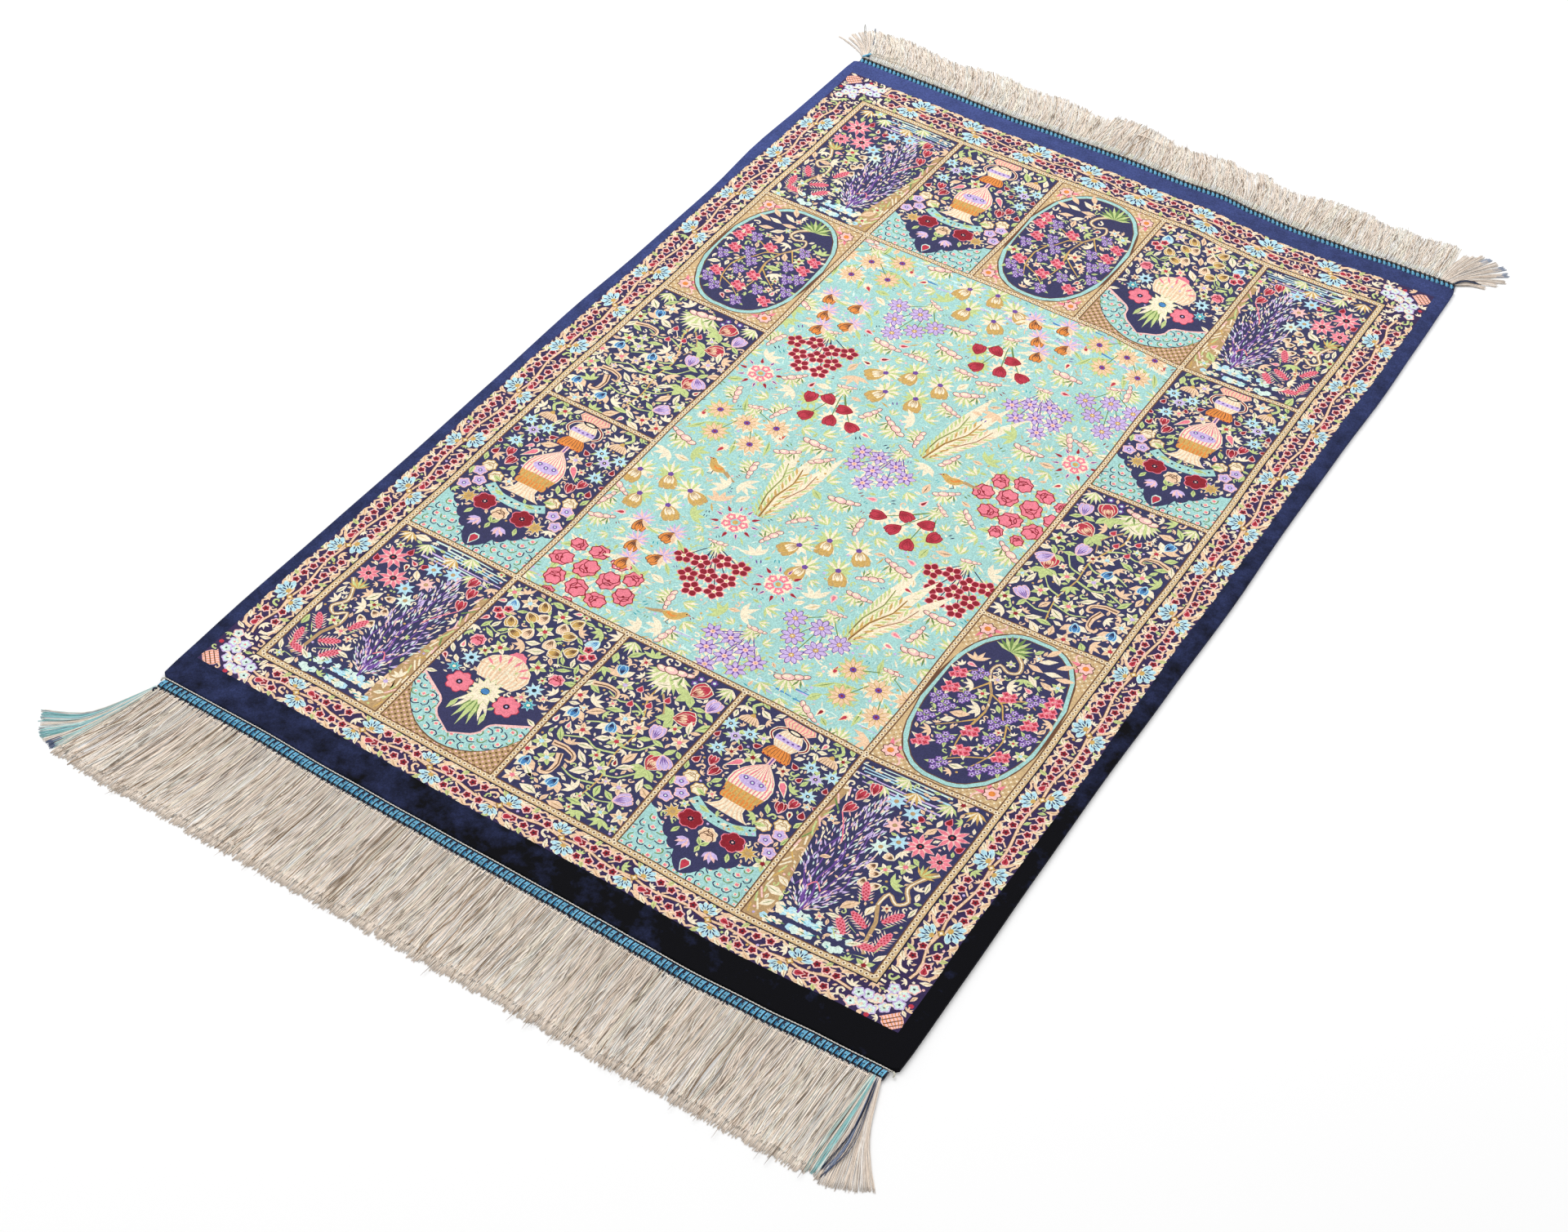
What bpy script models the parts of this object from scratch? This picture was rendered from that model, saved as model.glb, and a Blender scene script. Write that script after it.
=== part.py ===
"""A small knotted silk rug: pile mat, wrapped end bindings, and warp fringes with loose corner yarns.

Metres, +Z up. The origin is at the middle of the mat's underside. +Y runs along the rug to its far end,
+X across it. Tables of plan points are in millimetres.
"""
import math
import random
from collections import namedtuple

import bmesh
import bpy
from mathutils import Vector

MM = 0.001
GAP = 0.3 * MM                     # between pieces that touch

MAT_THICKNESS = 3.5 * MM
MAT_ROUNDING = 1.0 * MM            # the pile's rounded top edge
CORNER_RADIUS = 5.0 * MM
END_STEP = 9.0 * MM                # outline spacing along the ends
SIDE_STEP = 24.0 * MM              # outline spacing along the sides

CORD_WIDTH = 1.1 * MM
CORD_HEIGHT = 3.3 * MM

BINDING_WIDTH = 9.0 * MM
RIB_PITCH = 4.4 * MM               # one rib of wrapping for each bunch of warps
RIB_DEPTH = 0.75                   # height of the groove between two ribs, as a share of the rib's
NOTCH = 0.8 * MM                   # how far the binding's outer edge draws in at each groove

STRIP_DEPTH = 1.6 * MM             # fringe's root strip, along Y
LOCK_WIDTH = 3.5 * MM
LOCK_TIP_WIDTH = 2.5 * MM
LOCK_HEIGHTS = (2.0 * MM, 1.7 * MM, 1.2 * MM)     # root, middle, tip
LOCK_BOW = 0.36                    # share of the sideways drift reached at half length
TIP_JITTER = 2.2 * MM

# How far the mat's sides stand, in mm, at places along the rug.
Side = namedtuple("Side", "y left right")
SIDES = [
    Side(-470, -303.3, 301.5), Side(-400, -304.3, 301.0), Side(-300, -303.3, 300.0),
    Side(-200, -302.6, 299.6), Side(-100, -303.3, 301.0), Side(20, -304.8, 302.7),
    Side(120, -302.6, 301.3), Side(230, -302.3, 301.9), Side(320, -306.3, 303.5),
    Side(400, -304.5, 302.5), Side(470, -304.0, 301.6)]

# How far the mat's ends reach, in mm, at places across the rug.
End = namedtuple("End", "x near far")
ENDS = [
    End(-300, -488.0, 489.5), End(-220, -488.4, 488.8), End(-140, -491.2, 486.9),
    End(-80, -492.5, 489.0), End(-20, -493.3, 490.6), End(40, -494.2, 489.2),
    End(75, -494.9, 491.0), End(110, -496.0, 486.2), End(150, -497.0, 483.2),
    End(200, -495.7, 484.5), End(250, -493.4, 488.0), End(300, -492.0, 490.0)]

# Where the fringe's locks end: root across the rug, and tip, in mm.
Sway = namedtuple("Sway", "x tip_x tip_y")
NEAR_SWAY = [
    Sway(-296, -317, -578), Sway(-280, -297, -583), Sway(-250, -262, -584), Sway(-200, -207, -584),
    Sway(-100, -103, -585), Sway(0, 0, -586), Sway(100, 101, -587), Sway(200, 200, -586),
    Sway(283, 282, -586)]
FAR_SWAY = [
    Sway(-295.5, -316, 539), Sway(-260, -276, 542), Sway(-200, -213, 541), Sway(-150, -162, 542),
    Sway(-100, -110, 544), Sway(-60, -67, 548), Sway(-20, -24, 558), Sway(20, 16, 553),
    Sway(60, 55, 548), Sway(100, 94, 544), Sway(140, 134, 539), Sway(165, 160, 545),
    Sway(200, 197, 549), Sway(240, 238, 547), Sway(284, 279, 550)]

# Loose yarns at the corners: middle and tip of each lock, in mm, and its widths there.
Yarn = namedtuple("Yarn", "mid_x mid_y tip_x tip_y mid_width tip_width")
TASSEL_NEAR_LEFT = [
    Yarn(-319.0, -544, -350, -560, 2.4, 5.0), Yarn(-316.2, -547, -343, -567, 2.2, 4.6),
    Yarn(-313.6, -549, -335, -574, 2.0, 4.2), Yarn(-311.2, -550, -327.5, -578, 1.6, 3.0)]
TASSEL_NEAR_RIGHT = [
    Yarn(287.2, -545, 287.8, -587, 3.0, 3.2), Yarn(290.9, -545, 292.2, -586, 3.0, 3.2)]
THREADS_NEAR_RIGHT = [
    Yarn(298.2, -545, 297.5, -584, 1.6, 1.8), Yarn(300.6, -545, 301.5, -581, 1.6, 1.8)]
FAN_NEAR_RIGHT = [
    Yarn(304.0, -543, 307.0, -584, 2.4, 3.4), Yarn(307.0, -542, 313.5, -583, 2.4, 4.2),
    Yarn(310.0, -540, 320.5, -581, 2.4, 4.6), Yarn(313.0, -538, 328.0, -577, 2.2, 4.6)]
FAN_FAR_LEFT = [
    Yarn(-318.0, 509, -336, 515, 1.2, 1.2), Yarn(-314.8, 513.5, -327, 523, 2.4, 4.6),
    Yarn(-312.0, 518, -325.5, 531.5, 2.4, 4.4), Yarn(-308.3, 521, -321.8, 540.5, 2.0, 3.4)]
FAN_FAR_RIGHT = [
    Yarn(296.0, 522, 297.0, 547, 3.2, 5.0), Yarn(300.5, 522, 304.5, 551, 3.2, 5.2),
    Yarn(305.0, 521, 312.0, 552, 3.2, 5.2), Yarn(309.0, 519, 320.0, 549, 3.2, 5.2),
    Yarn(312.6, 515.6, 327.5, 545, 3.0, 5.2), Yarn(315.5, 511.6, 333.0, 536, 3.0, 6.0)]
THREADS_FAR_RIGHT = [Yarn(310.5, 504.5, 320.0, 509.5, 1.6, 1.2)]

# Each corner head: the two ends of its front face, in mm, and which way its yarns leave it.
Head = namedtuple("Head", "x0 y0 x1 y1 away_x away_y")
HEAD_NEAR_LEFT = Head(-303.8, -502.4, -298.9, -504.2, -0.25, -1.0)
HEAD_NEAR_RIGHT = Head(284.8, -507.0, 291.6, -506.7, 0.0, -1.0)
HEAD_THREADS_NEAR = Head(292.4, -506.6, 295.0, -506.2, 0.0, -1.0)
HEAD_FAN_NEAR = Head(295.8, -506.0, 301.6, -504.4, 0.25, -1.0)
HEAD_FAN_FAR_LEFT = Head(-304.0, 499.9, -300.6, 504.2, -0.8, 0.6)
HEAD_FAN_FAR_RIGHT = Head(289.2, 505.4, 301.6, 502.6, 0.2, 1.0)
HEAD_THREADS_FAR = Head(302.9, 499.2, 301.9, 497.2, 1.0, 0.5)

PILE_NAVY = (0.035, 0.045, 0.16)
CREAM = (0.72, 0.64, 0.54)
BLUE = (0.03, 0.24, 0.42)
TURQUOISE = (0.28, 0.56, 0.58)
DARK_BLUE = (0.03, 0.05, 0.15)


def eased(rows, key, column, at):
    """A column of a table at a place between two of its rows, with soft turns at the rows."""
    if at <= getattr(rows[0], key):
        return getattr(rows[0], column)
    for low, high in zip(rows, rows[1:]):
        start, end = getattr(low, key), getattr(high, key)
        if at <= end:
            share = 0.5 - 0.5 * math.cos(math.pi * (at - start) / (end - start))
            return getattr(low, column) * (1 - share) + getattr(high, column) * share
    return getattr(rows[-1], column)


def straight(rows, key, column, at):
    """A column of a table, read along straight lines between its rows."""
    for low, high in zip(rows, rows[1:]):
        start, end = getattr(low, key), getattr(high, key)
        if at <= end:
            share = (at - start) / (end - start)
            return getattr(low, column) * (1 - share) + getattr(high, column) * share
    return getattr(rows[-1], column)


def end_y(x, end):
    return eased(ENDS, "x", end, x / MM) * MM


def side_x(y, side):
    return eased(SIDES, "y", side, y / MM) * MM


def spaced(start, end, step):
    count = max(1, round(abs(end - start) / step))
    return [start + (end - start) * i / count for i in range(count + 1)]


def material(name, colour, roughness):
    made = bpy.data.materials.new(name)
    made.use_nodes = True
    shader = made.node_tree.nodes["Principled BSDF"]
    shader.inputs["Base Color"].default_value = (*colour, 1.0)
    shader.inputs["Roughness"].default_value = roughness
    shader.inputs["Metallic"].default_value = 0.0
    return made


def add_object(name, points, faces, finish):
    """A closed solid from points and faces, its normals turned out."""
    mesh = bpy.data.meshes.new(name)
    builder = bmesh.new()
    corners = [builder.verts.new(point) for point in points]
    for face in faces:
        builder.faces.new([corners[i] for i in face])
    bmesh.ops.recalc_face_normals(builder, faces=builder.faces)
    builder.to_mesh(mesh)
    builder.free()
    mesh.materials.append(finish)
    placed = bpy.data.objects.new(name, mesh)
    bpy.context.scene.collection.objects.link(placed)
    return placed


def lofted(name, rings, finish):
    """A solid from rings of points, each joined to the next and the two ends filled."""
    size = len(rings[0])
    points = [point for ring in rings for point in ring]
    faces = [tuple(range(size)), tuple((len(rings) - 1) * size + i for i in range(size))]
    for k in range(len(rings) - 1):
        for i in range(size):
            j = (i + 1) % size
            faces.append((k * size + i, k * size + j, (k + 1) * size + j, (k + 1) * size + i))
    return add_object(name, points, faces, finish)


def mat_outline():
    """The mat's edge in plan, counter-clockwise from the near left corner, the corners rounded."""
    r = CORNER_RADIUS
    near, far = ENDS[0].near * MM + r, ENDS[0].far * MM - r
    left, right = ENDS[0].x * MM + r, ENDS[-1].x * MM - r
    points = [(x, end_y(x, "near")) for x in spaced(left, right, END_STEP)]
    points += corner(right, end_y(right, "near") + r, side_x(near, "right"), -90)
    points += [(side_x(y, "right"), y) for y in spaced(near + 2 * r, far - 2 * r, SIDE_STEP)]
    points += corner(right, end_y(right, "far") - r, side_x(far, "right"), 0)
    points += [(x, end_y(x, "far")) for x in spaced(right, left, END_STEP)]
    points += corner(left, end_y(left, "far") - r, side_x(far, "left"), 90)
    points += [(side_x(y, "left"), y) for y in spaced(far - 2 * r, near + 2 * r, SIDE_STEP)]
    points += corner(left, end_y(left, "near") + r, side_x(near, "left"), 180)
    return points


def corner(x, y, side, start):
    """The points inside one rounded corner: from the end's last point to the side's first."""
    reach = abs(side - x)
    return [(x + reach * math.cos(math.radians(start + turn)),
             y + CORNER_RADIUS * math.sin(math.radians(start + turn))) for turn in (22.5, 45.0, 67.5)]


def inset(points, distance):
    """The outline drawn in by a small distance."""
    moved = []
    for i, (x, y) in enumerate(points):
        ahead = points[(i + 1) % len(points)]
        behind = points[i - 1]
        along = Vector((ahead[0] - behind[0], ahead[1] - behind[1])).normalized()
        moved.append((x - along.y * distance, y + along.x * distance))
    return moved


def make_mat(finish):
    outline = mat_outline()
    shoulder = MAT_THICKNESS - MAT_ROUNDING
    rings = [[(x, y, 0.0) for x, y in outline],
             [(x, y, shoulder) for x, y in outline],
             [(x, y, MAT_THICKNESS) for x, y in inset(outline, MAT_ROUNDING)]]
    lofted("rug_body", rings, finish)


def make_edge_cord(finish):
    """The cream twining cord, a low rounded wall along the near edge of the pile."""
    rings = []
    for x in spaced(-298.5 * MM, 297.5 * MM, 2 * END_STEP):
        y = end_y(x, "near") - GAP
        rings.append([(x, y, 0.0), (x, y, 0.8 * CORD_HEIGHT), (x, y - 0.5 * CORD_WIDTH, CORD_HEIGHT),
                      (x, y - CORD_WIDTH, 0.8 * CORD_HEIGHT), (x, y - CORD_WIDTH, 0.0)])
    lofted("edge_cord_near", rings, finish)


# Cross-section of a binding: across it from the pile outward, and up, in mm.
Profile = namedtuple("Profile", "out up")
BINDING_PROFILE = [Profile(0.0, 0.0), Profile(0.6, 2.3), Profile(4.2, 3.0), Profile(8.3, 2.0),
                   Profile(9.0, 0.0)]


def binding_start(x, end):
    """Where the binding's inner edge runs."""
    if end == "near":
        return end_y(x, "near") - 2 * GAP - CORD_WIDTH
    return end_y(x, "far") + GAP


def binding_end(x, end):
    outward = -1 if end == "near" else 1
    return binding_start(x, end) + outward * BINDING_WIDTH


def make_binding(name, end, start_x, ribs, finish):
    """The ribbed end binding: a groove, a rib, a groove, and so on across the rug."""
    outward = -1 if end == "near" else 1
    rings = []
    for i in range(2 * ribs + 1):
        x = start_x + i * RIB_PITCH / 2
        groove = i % 2 == 0
        rise = RIB_DEPTH if groove else 1.0
        edge = BINDING_WIDTH - NOTCH if groove else BINDING_WIDTH
        rings.append([(x, binding_start(x, end) + outward * p.out * MM * edge / BINDING_WIDTH,
                       p.up * MM * rise) for p in BINDING_PROFILE])
    lofted(name, rings, finish)


def comb(name, cells, finish):
    """A root strip with locks: cells run along the strip, each (front, back, front, back, lock or None).

    front and back are the plan points of the cell's two ends, and a lock is a list of
    (left point, right point, height) from its first section after the root to its tip.
    """
    height = LOCK_HEIGHTS[0]
    points, faces = [], []

    def station(front, back):
        base = len(points)
        points.extend([(*back, 0.0), (*back, height), (*front, height), (*front, 0.0)])
        return base

    first = last = station(*cells[0][0])
    faces.append((first, first + 1, first + 2, first + 3))
    for (start, end, lock) in cells:
        here = station(*end)
        for a, b in ((0, 1), (1, 2), (3, 0)):
            faces.append((last + a, last + b, here + b, here + a))
        if lock is None:
            faces.append((last + 2, last + 3, here + 3, here + 2))
        else:
            ring = (last + 3, here + 3, here + 2, last + 2)
            for left, right, top in lock:
                base = len(points)
                points.extend([(*left, 0.0), (*right, 0.0), (*right, top), (*left, top)])
                new = (base, base + 1, base + 2, base + 3)
                for k in range(4):
                    faces.append((ring[k], ring[(k + 1) % 4], new[(k + 1) % 4], new[k]))
                ring = new
            faces.append(ring)
        last = here
    faces.append((last, last + 1, last + 2, last + 3))
    return add_object(name, points, faces, finish)


def section(centre, towards, width):
    """The left and right plan points of a lock's cross-section."""
    across = Vector((-towards[1], towards[0])).normalized() * width / 2
    if across.x > 0:
        across = -across
    return (centre[0] + across.x, centre[1] + across.y), (centre[0] - across.x, centre[1] - across.y)


def make_fringe(name, end, sway, finish):
    """The locks of one end, side by side across the rug."""
    rng = random.Random(name)
    outward = -1 if end == "near" else 1
    first, last = sway[0].x * MM, sway[-1].x * MM
    count = round((last - first) / RIB_PITCH)
    cells = []

    def at(x):
        back = binding_end(x, end) + outward * GAP
        return (x, back + outward * STRIP_DEPTH), (x, back)

    for i in range(count + 1):
        x = first + i * (last - first) / count
        left, right = x - LOCK_WIDTH / 2, x + LOCK_WIDTH / 2
        tip = Vector((straight(sway, "x", "tip_x", x / MM) * MM + rng.uniform(-0.4, 0.4) * MM,
                      straight(sway, "x", "tip_y", x / MM) * MM + rng.uniform(-1, 1) * TIP_JITTER))
        root = Vector(at(x)[0])
        middle = Vector((root.x + LOCK_BOW * (tip.x - root.x), (root.y + tip.y) / 2))
        lock = [(*section(middle, (0.0, outward), (LOCK_WIDTH + LOCK_TIP_WIDTH) / 2), LOCK_HEIGHTS[1]),
                (*section(tip, (0.0, outward), LOCK_TIP_WIDTH), LOCK_HEIGHTS[2])]
        if cells:
            cells.append((cells[-1][1], at(left), None))
        cells.append((at(left), at(right), lock))
    comb(name, cells, finish)


def make_corner(name, head, yarns, finish):
    """Loose corner yarns that leave one small head."""
    away = Vector((head.away_x, head.away_y)).normalized()
    start, end = Vector((head.x0, head.y0)) * MM, Vector((head.x1, head.y1)) * MM
    cells = []

    def at(share):
        front = start.lerp(end, share)
        return tuple(front), tuple(front - away * STRIP_DEPTH)

    for i, yarn in enumerate(yarns):
        middle = Vector((yarn.mid_x, yarn.mid_y)) * MM
        tip = Vector((yarn.tip_x, yarn.tip_y)) * MM
        share_left = (i + 0.08) / len(yarns)
        share_right = (i + 0.92) / len(yarns)
        root = start.lerp(end, (i + 0.5) / len(yarns))
        lock = []
        for centre, towards, width, top in (
                (middle, tip - root, yarn.mid_width, LOCK_HEIGHTS[1]),
                (tip, tip - middle, yarn.tip_width, LOCK_HEIGHTS[2])):
            sides = section(centre, towards, width * MM)
            if (Vector(sides[1]) - Vector(sides[0])).dot(end - start) < 0:
                sides = sides[::-1]
            lock.append((*sides, top))
        if cells:
            cells.append((cells[-1][1], at(share_left), None))
        cells.append((at(share_left), at(share_right), lock))
    comb(name, cells, finish)


def main():
    for old in list(bpy.data.objects):
        bpy.data.objects.remove(old)
    pile = material("silk_pile", PILE_NAVY, 0.75)
    cream = material("cream_warp", CREAM, 0.85)
    blue = material("blue_binding", BLUE, 0.6)
    turquoise = material("turquoise_yarn", TURQUOISE, 0.8)
    dark = material("dark_yarn", DARK_BLUE, 0.8)
    make_mat(pile)
    make_edge_cord(cream)
    make_binding("binding_near", "near", -298.2 * MM, 135, blue)
    make_binding("binding_far", "far", -299.5 * MM, 136, blue)
    make_fringe("fringe_near", "near", NEAR_SWAY, cream)
    make_fringe("fringe_far", "far", FAR_SWAY, cream)
    make_corner("tassel_near_left", HEAD_NEAR_LEFT, TASSEL_NEAR_LEFT, turquoise)
    make_corner("tassel_near_right", HEAD_NEAR_RIGHT, TASSEL_NEAR_RIGHT, turquoise)
    make_corner("threads_near_right", HEAD_THREADS_NEAR, THREADS_NEAR_RIGHT, dark)
    make_corner("fan_near_right", HEAD_FAN_NEAR, FAN_NEAR_RIGHT, cream)
    make_corner("fan_far_left", HEAD_FAN_FAR_LEFT, FAN_FAR_LEFT, cream)
    make_corner("fan_far_right", HEAD_FAN_FAR_RIGHT, FAN_FAR_RIGHT, cream)
    make_corner("threads_far_right", HEAD_THREADS_FAR, THREADS_FAR_RIGHT, dark)


main()
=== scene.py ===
"""The looks of a small knotted silk rug: its pattern, wrapped ends, fringes and loose corner yarns.

Plan measures are in millimetres until a mesh is made. +Y runs to the rug's far end, +Z is up.
The pattern is drawn on a chart of straight stripes, and then laid on the woven, slightly wavy mat.
"""
import math
import random
from bisect import bisect_left
from collections import namedtuple

import bmesh
import bpy
from mathutils import Matrix, Vector
from mathutils.geometry import delaunay_2d_cdt


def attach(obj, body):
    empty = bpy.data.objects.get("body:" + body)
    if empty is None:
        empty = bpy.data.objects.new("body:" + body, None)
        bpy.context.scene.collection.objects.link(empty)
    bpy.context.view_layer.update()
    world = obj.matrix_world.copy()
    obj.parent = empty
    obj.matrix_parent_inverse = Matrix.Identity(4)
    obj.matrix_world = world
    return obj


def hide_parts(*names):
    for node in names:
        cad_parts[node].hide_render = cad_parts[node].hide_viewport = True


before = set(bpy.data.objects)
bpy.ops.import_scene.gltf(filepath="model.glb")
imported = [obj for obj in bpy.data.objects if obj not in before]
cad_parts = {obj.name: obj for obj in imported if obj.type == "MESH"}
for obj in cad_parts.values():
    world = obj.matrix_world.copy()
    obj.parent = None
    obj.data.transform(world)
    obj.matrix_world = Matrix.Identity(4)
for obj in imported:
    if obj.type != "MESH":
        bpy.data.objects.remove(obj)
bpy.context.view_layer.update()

MM = 0.001
KNOT = 0.9                 # one knot of the pile

# ------------------------------------------------------------------------------------------ yarns

YARNS = {
    "ground": "33335a", "plum": "33244f", "ink": "14132b", "navy": "1d2350",
    "aqua": "a3d1cc", "sky": "b3dcea", "blue": "4583bd", "teal": "3fa3ad",
    "cream": "f3e5c8", "peach": "edc9a6", "gold": "cda65d", "sand": "cfb183",
    "tan": "b8976a", "brown": "6a4630", "wine": "8c1526", "red": "bb3447",
    "rose": "ec7f90", "blush": "f5c3bd", "orange": "e28a3e", "lilac": "c9b3e0",
    "violet": "6d4698", "leaf": "c2d08a", "moss": "6f8c4c", "mist": "d5ebe0",
}


def linear(code):
    """A colour written as six hexadecimal digits, as linear light."""
    parts = [int(code[i:i + 2], 16) / 255 for i in (0, 2, 4)]
    return tuple(c / 12.92 if c <= 0.04045 else ((c + 0.055) / 1.055) ** 2.4 for c in parts)


YARN_LIGHT = {name: linear(code) for name, code in YARNS.items()}

# --------------------------------------------------------------------------- the mat's woven shape

PATTERN_HALF = 290.0                   # chart half width, to the border's outer edge
BORDER_NEAR, BORDER_FAR = -466.0, 468.0
CHART_NEAR, CHART_FAR = -492.5, 489.0  # the mat's two ends on the chart
CENTRE_NEAR, CENTRE_FAR = -3.2, -2.2   # the pattern's middle line on the mat, at its two ends
HALF_NEAR, HALF_FAR = 289.3, 292.3     # its half width there
# The rim's points past these lines belong to the mat's two ends, and not to its sides.
NEAR_LINE, FAR_LINE, SIDE_LINE = -486.0, 481.0, 295.5

# The weave's slow bends: how far each goes aside, and how many millimetres make one radian of it.
Wave = namedtuple("Wave", "height radian")
LONG_WAVE, SHORT_WAVE, END_WAVE = Wave(0.7, 47), Wave(0.3, 17), Wave(0.4, 31)

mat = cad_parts["rug_body"]
MAT_TOP = max(v.co.z for v in mat.data.vertices) / MM
mat_rim = {(round(v.co.x / MM, 3), round(v.co.y / MM, 3)) for v in mat.data.vertices if v.co.z < MM}
near_edge = sorted((x, y) for x, y in mat_rim if y < NEAR_LINE and abs(x) < SIDE_LINE)
far_edge = sorted((x, y) for x, y in mat_rim if y > FAR_LINE and abs(x) < SIDE_LINE)


def read(edge, at):
    """Where an end of the mat stands, between two of its points."""
    i = min(max(bisect_left(edge, (at,)), 1), len(edge) - 1)
    (a, low), (b, high) = edge[i - 1], edge[i]
    share = min(max((at - a) / (b - a), 0.0), 1.0)
    return low + (high - low) * share


def woven(p, v):
    """Where a point of the chart lies on the mat."""
    share = (v - CHART_NEAR) / (CHART_FAR - CHART_NEAR)
    centre = CENTRE_NEAR + (CENTRE_FAR - CENTRE_NEAR) * share
    half = HALF_NEAR + (HALF_FAR - HALF_NEAR) * share
    x = centre + p * half / PATTERN_HALF
    near_shift = read(near_edge, x) - CHART_NEAR
    far_shift = read(far_edge, x) - CHART_FAR
    y = v + near_shift * (1 - share) + far_shift * share
    return (x + LONG_WAVE.height * math.sin(v / LONG_WAVE.radian)
            + SHORT_WAVE.height * math.sin(v / SHORT_WAVE.radian + 1),
            y + END_WAVE.height * math.sin(p / END_WAVE.radian))


# ------------------------------------------------------------------------------------ chart pens

LEAF = (0.05, 0.7, 1.0, 0.62, 0.0)     # half widths of a blade from its base to its tip
PETAL = (0.2, 0.72, 1.0, 0.88, 0.35)
DROP = (0.0, 0.35, 0.8, 1.0, 0.55)
RIM = 0.8                              # a one-knot outline


def smooth(points, steps=3):
    """More points along a soft curve through the given ones."""
    curve = []
    for i in range(len(points) - 1):
        before, a = points[max(i - 1, 0)], points[i]
        b, after = points[i + 1], points[min(i + 2, len(points) - 1)]
        for k in range(steps):
            t = k / steps
            curve.append(tuple(
                0.5 * (2 * a[n] + (b[n] - before[n]) * t
                       + (2 * before[n] - 5 * a[n] + 4 * b[n] - after[n]) * t * t
                       + (3 * a[n] - before[n] - 3 * b[n] + after[n]) * t ** 3) for n in (0, 1)))
    return curve + [tuple(points[-1])]


class Pen:
    """Draws coloured outlines in its own millimetres onto the chart of the whole rug."""

    def __init__(self, shapes, place=(1.0, 0.0, 0.0, 1.0, 0.0, 0.0), clip=None):
        self.shapes = shapes
        self.place = place
        self.clip = clip

    def at(self, x, y, turn=0.0, size=1.0, tall=1.0, flip=False):
        """A pen with its origin at x, y, turned by degrees, sized, and mirrored if flip is set."""
        a, b, c, d, e, f = self.place
        cos, sin = math.cos(math.radians(turn)), math.sin(math.radians(turn))
        wide, high = -size if flip else size, size * tall
        ux, uy, vx, vy = cos * wide, sin * wide, -sin * high, cos * high
        return Pen(self.shapes, (a * ux + c * uy, b * ux + d * uy, a * vx + c * vy, b * vx + d * vy,
                                 a * x + c * y + e, b * x + d * y + f), self.clip)

    def within(self, x0, y0, x1, y1, yarn):
        """A pen for a ground of one colour, whose drawing stays inside that ground."""
        self.box(x0, y0, x1, y1, yarn)
        return Pen(self.shapes, self.place, len(self.shapes) - 1)

    def halves(self):
        """This pen and its mirror image."""
        return self, self.at(0, 0, flip=True)

    def fill(self, points, yarn):
        """A closed outline in one colour; every other form is drawn with it."""
        a, b, c, d, e, f = self.place
        self.shapes.append(([(a * x + c * y + e, b * x + d * y + f) for x, y in points], yarn, self.clip))

    def box(self, x0, y0, x1, y1, yarn):
        self.fill([(x0, y0), (x1, y0), (x1, y1), (x0, y1)], yarn)

    def oval(self, x, y, rx, ry, yarn, count=10, power=1.0):
        """An ellipse, or a squarer oval where power is less than one."""
        points = []
        for i in range(count):
            cos, sin = math.cos(math.tau * i / count), math.sin(math.tau * i / count)
            points.append((x + rx * math.copysign(abs(cos) ** power, cos),
                           y + ry * math.copysign(abs(sin) ** power, sin)))
        self.fill(points, yarn)

    def disc(self, x, y, radius, yarn, count=8):
        self.oval(x, y, radius, radius, yarn, count)

    def lobed(self, radius, lobes, depth, yarn, x=0.0, y=0.0, steps=4):
        """A round form with lobes, or a star where depth is large."""
        points = []
        for i in range(lobes * steps):
            angle = math.tau * i / (lobes * steps)
            reach = radius * (1 - depth * (0.5 - 0.5 * math.cos(lobes * angle)))
            points.append((x + reach * math.sin(angle), y + reach * math.cos(angle)))
        self.fill(points, yarn)

    def blade(self, length, width, yarn, shape=LEAF, bend=0.0, start=0.0):
        """A leaf or petal that grows along +y from the pen's origin."""
        rise = [(start + (length - start) * i / (len(shape) - 1), half * width / 2)
                for i, half in enumerate(shape)]
        right = [(half + bend * (y / length) ** 2, y) for y, half in rise]
        left = [(bend * (y / length) ** 2 - half, y) for y, half in reversed(rise) if half]
        self.fill(right + left, yarn)

    def line(self, points, width, yarn, tip=1.0, steps=3):
        """A ribbon along a soft curve, which narrows to a share of its width at the tip."""
        path = smooth(points, steps) if steps > 1 else points
        left, right = [], []
        for i, (x, y) in enumerate(path):
            ahead, behind = path[min(i + 1, len(path) - 1)], path[max(i - 1, 0)]
            dx, dy = ahead[0] - behind[0], ahead[1] - behind[1]
            length = math.hypot(dx, dy) or 1.0
            half = width / 2 * (1 + (tip - 1) * i / (len(path) - 1))
            left.append((x - dy / length * half, y + dx / length * half))
            right.append((x + dy / length * half, y - dx / length * half))
        self.fill(left + right[::-1], yarn)


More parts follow.
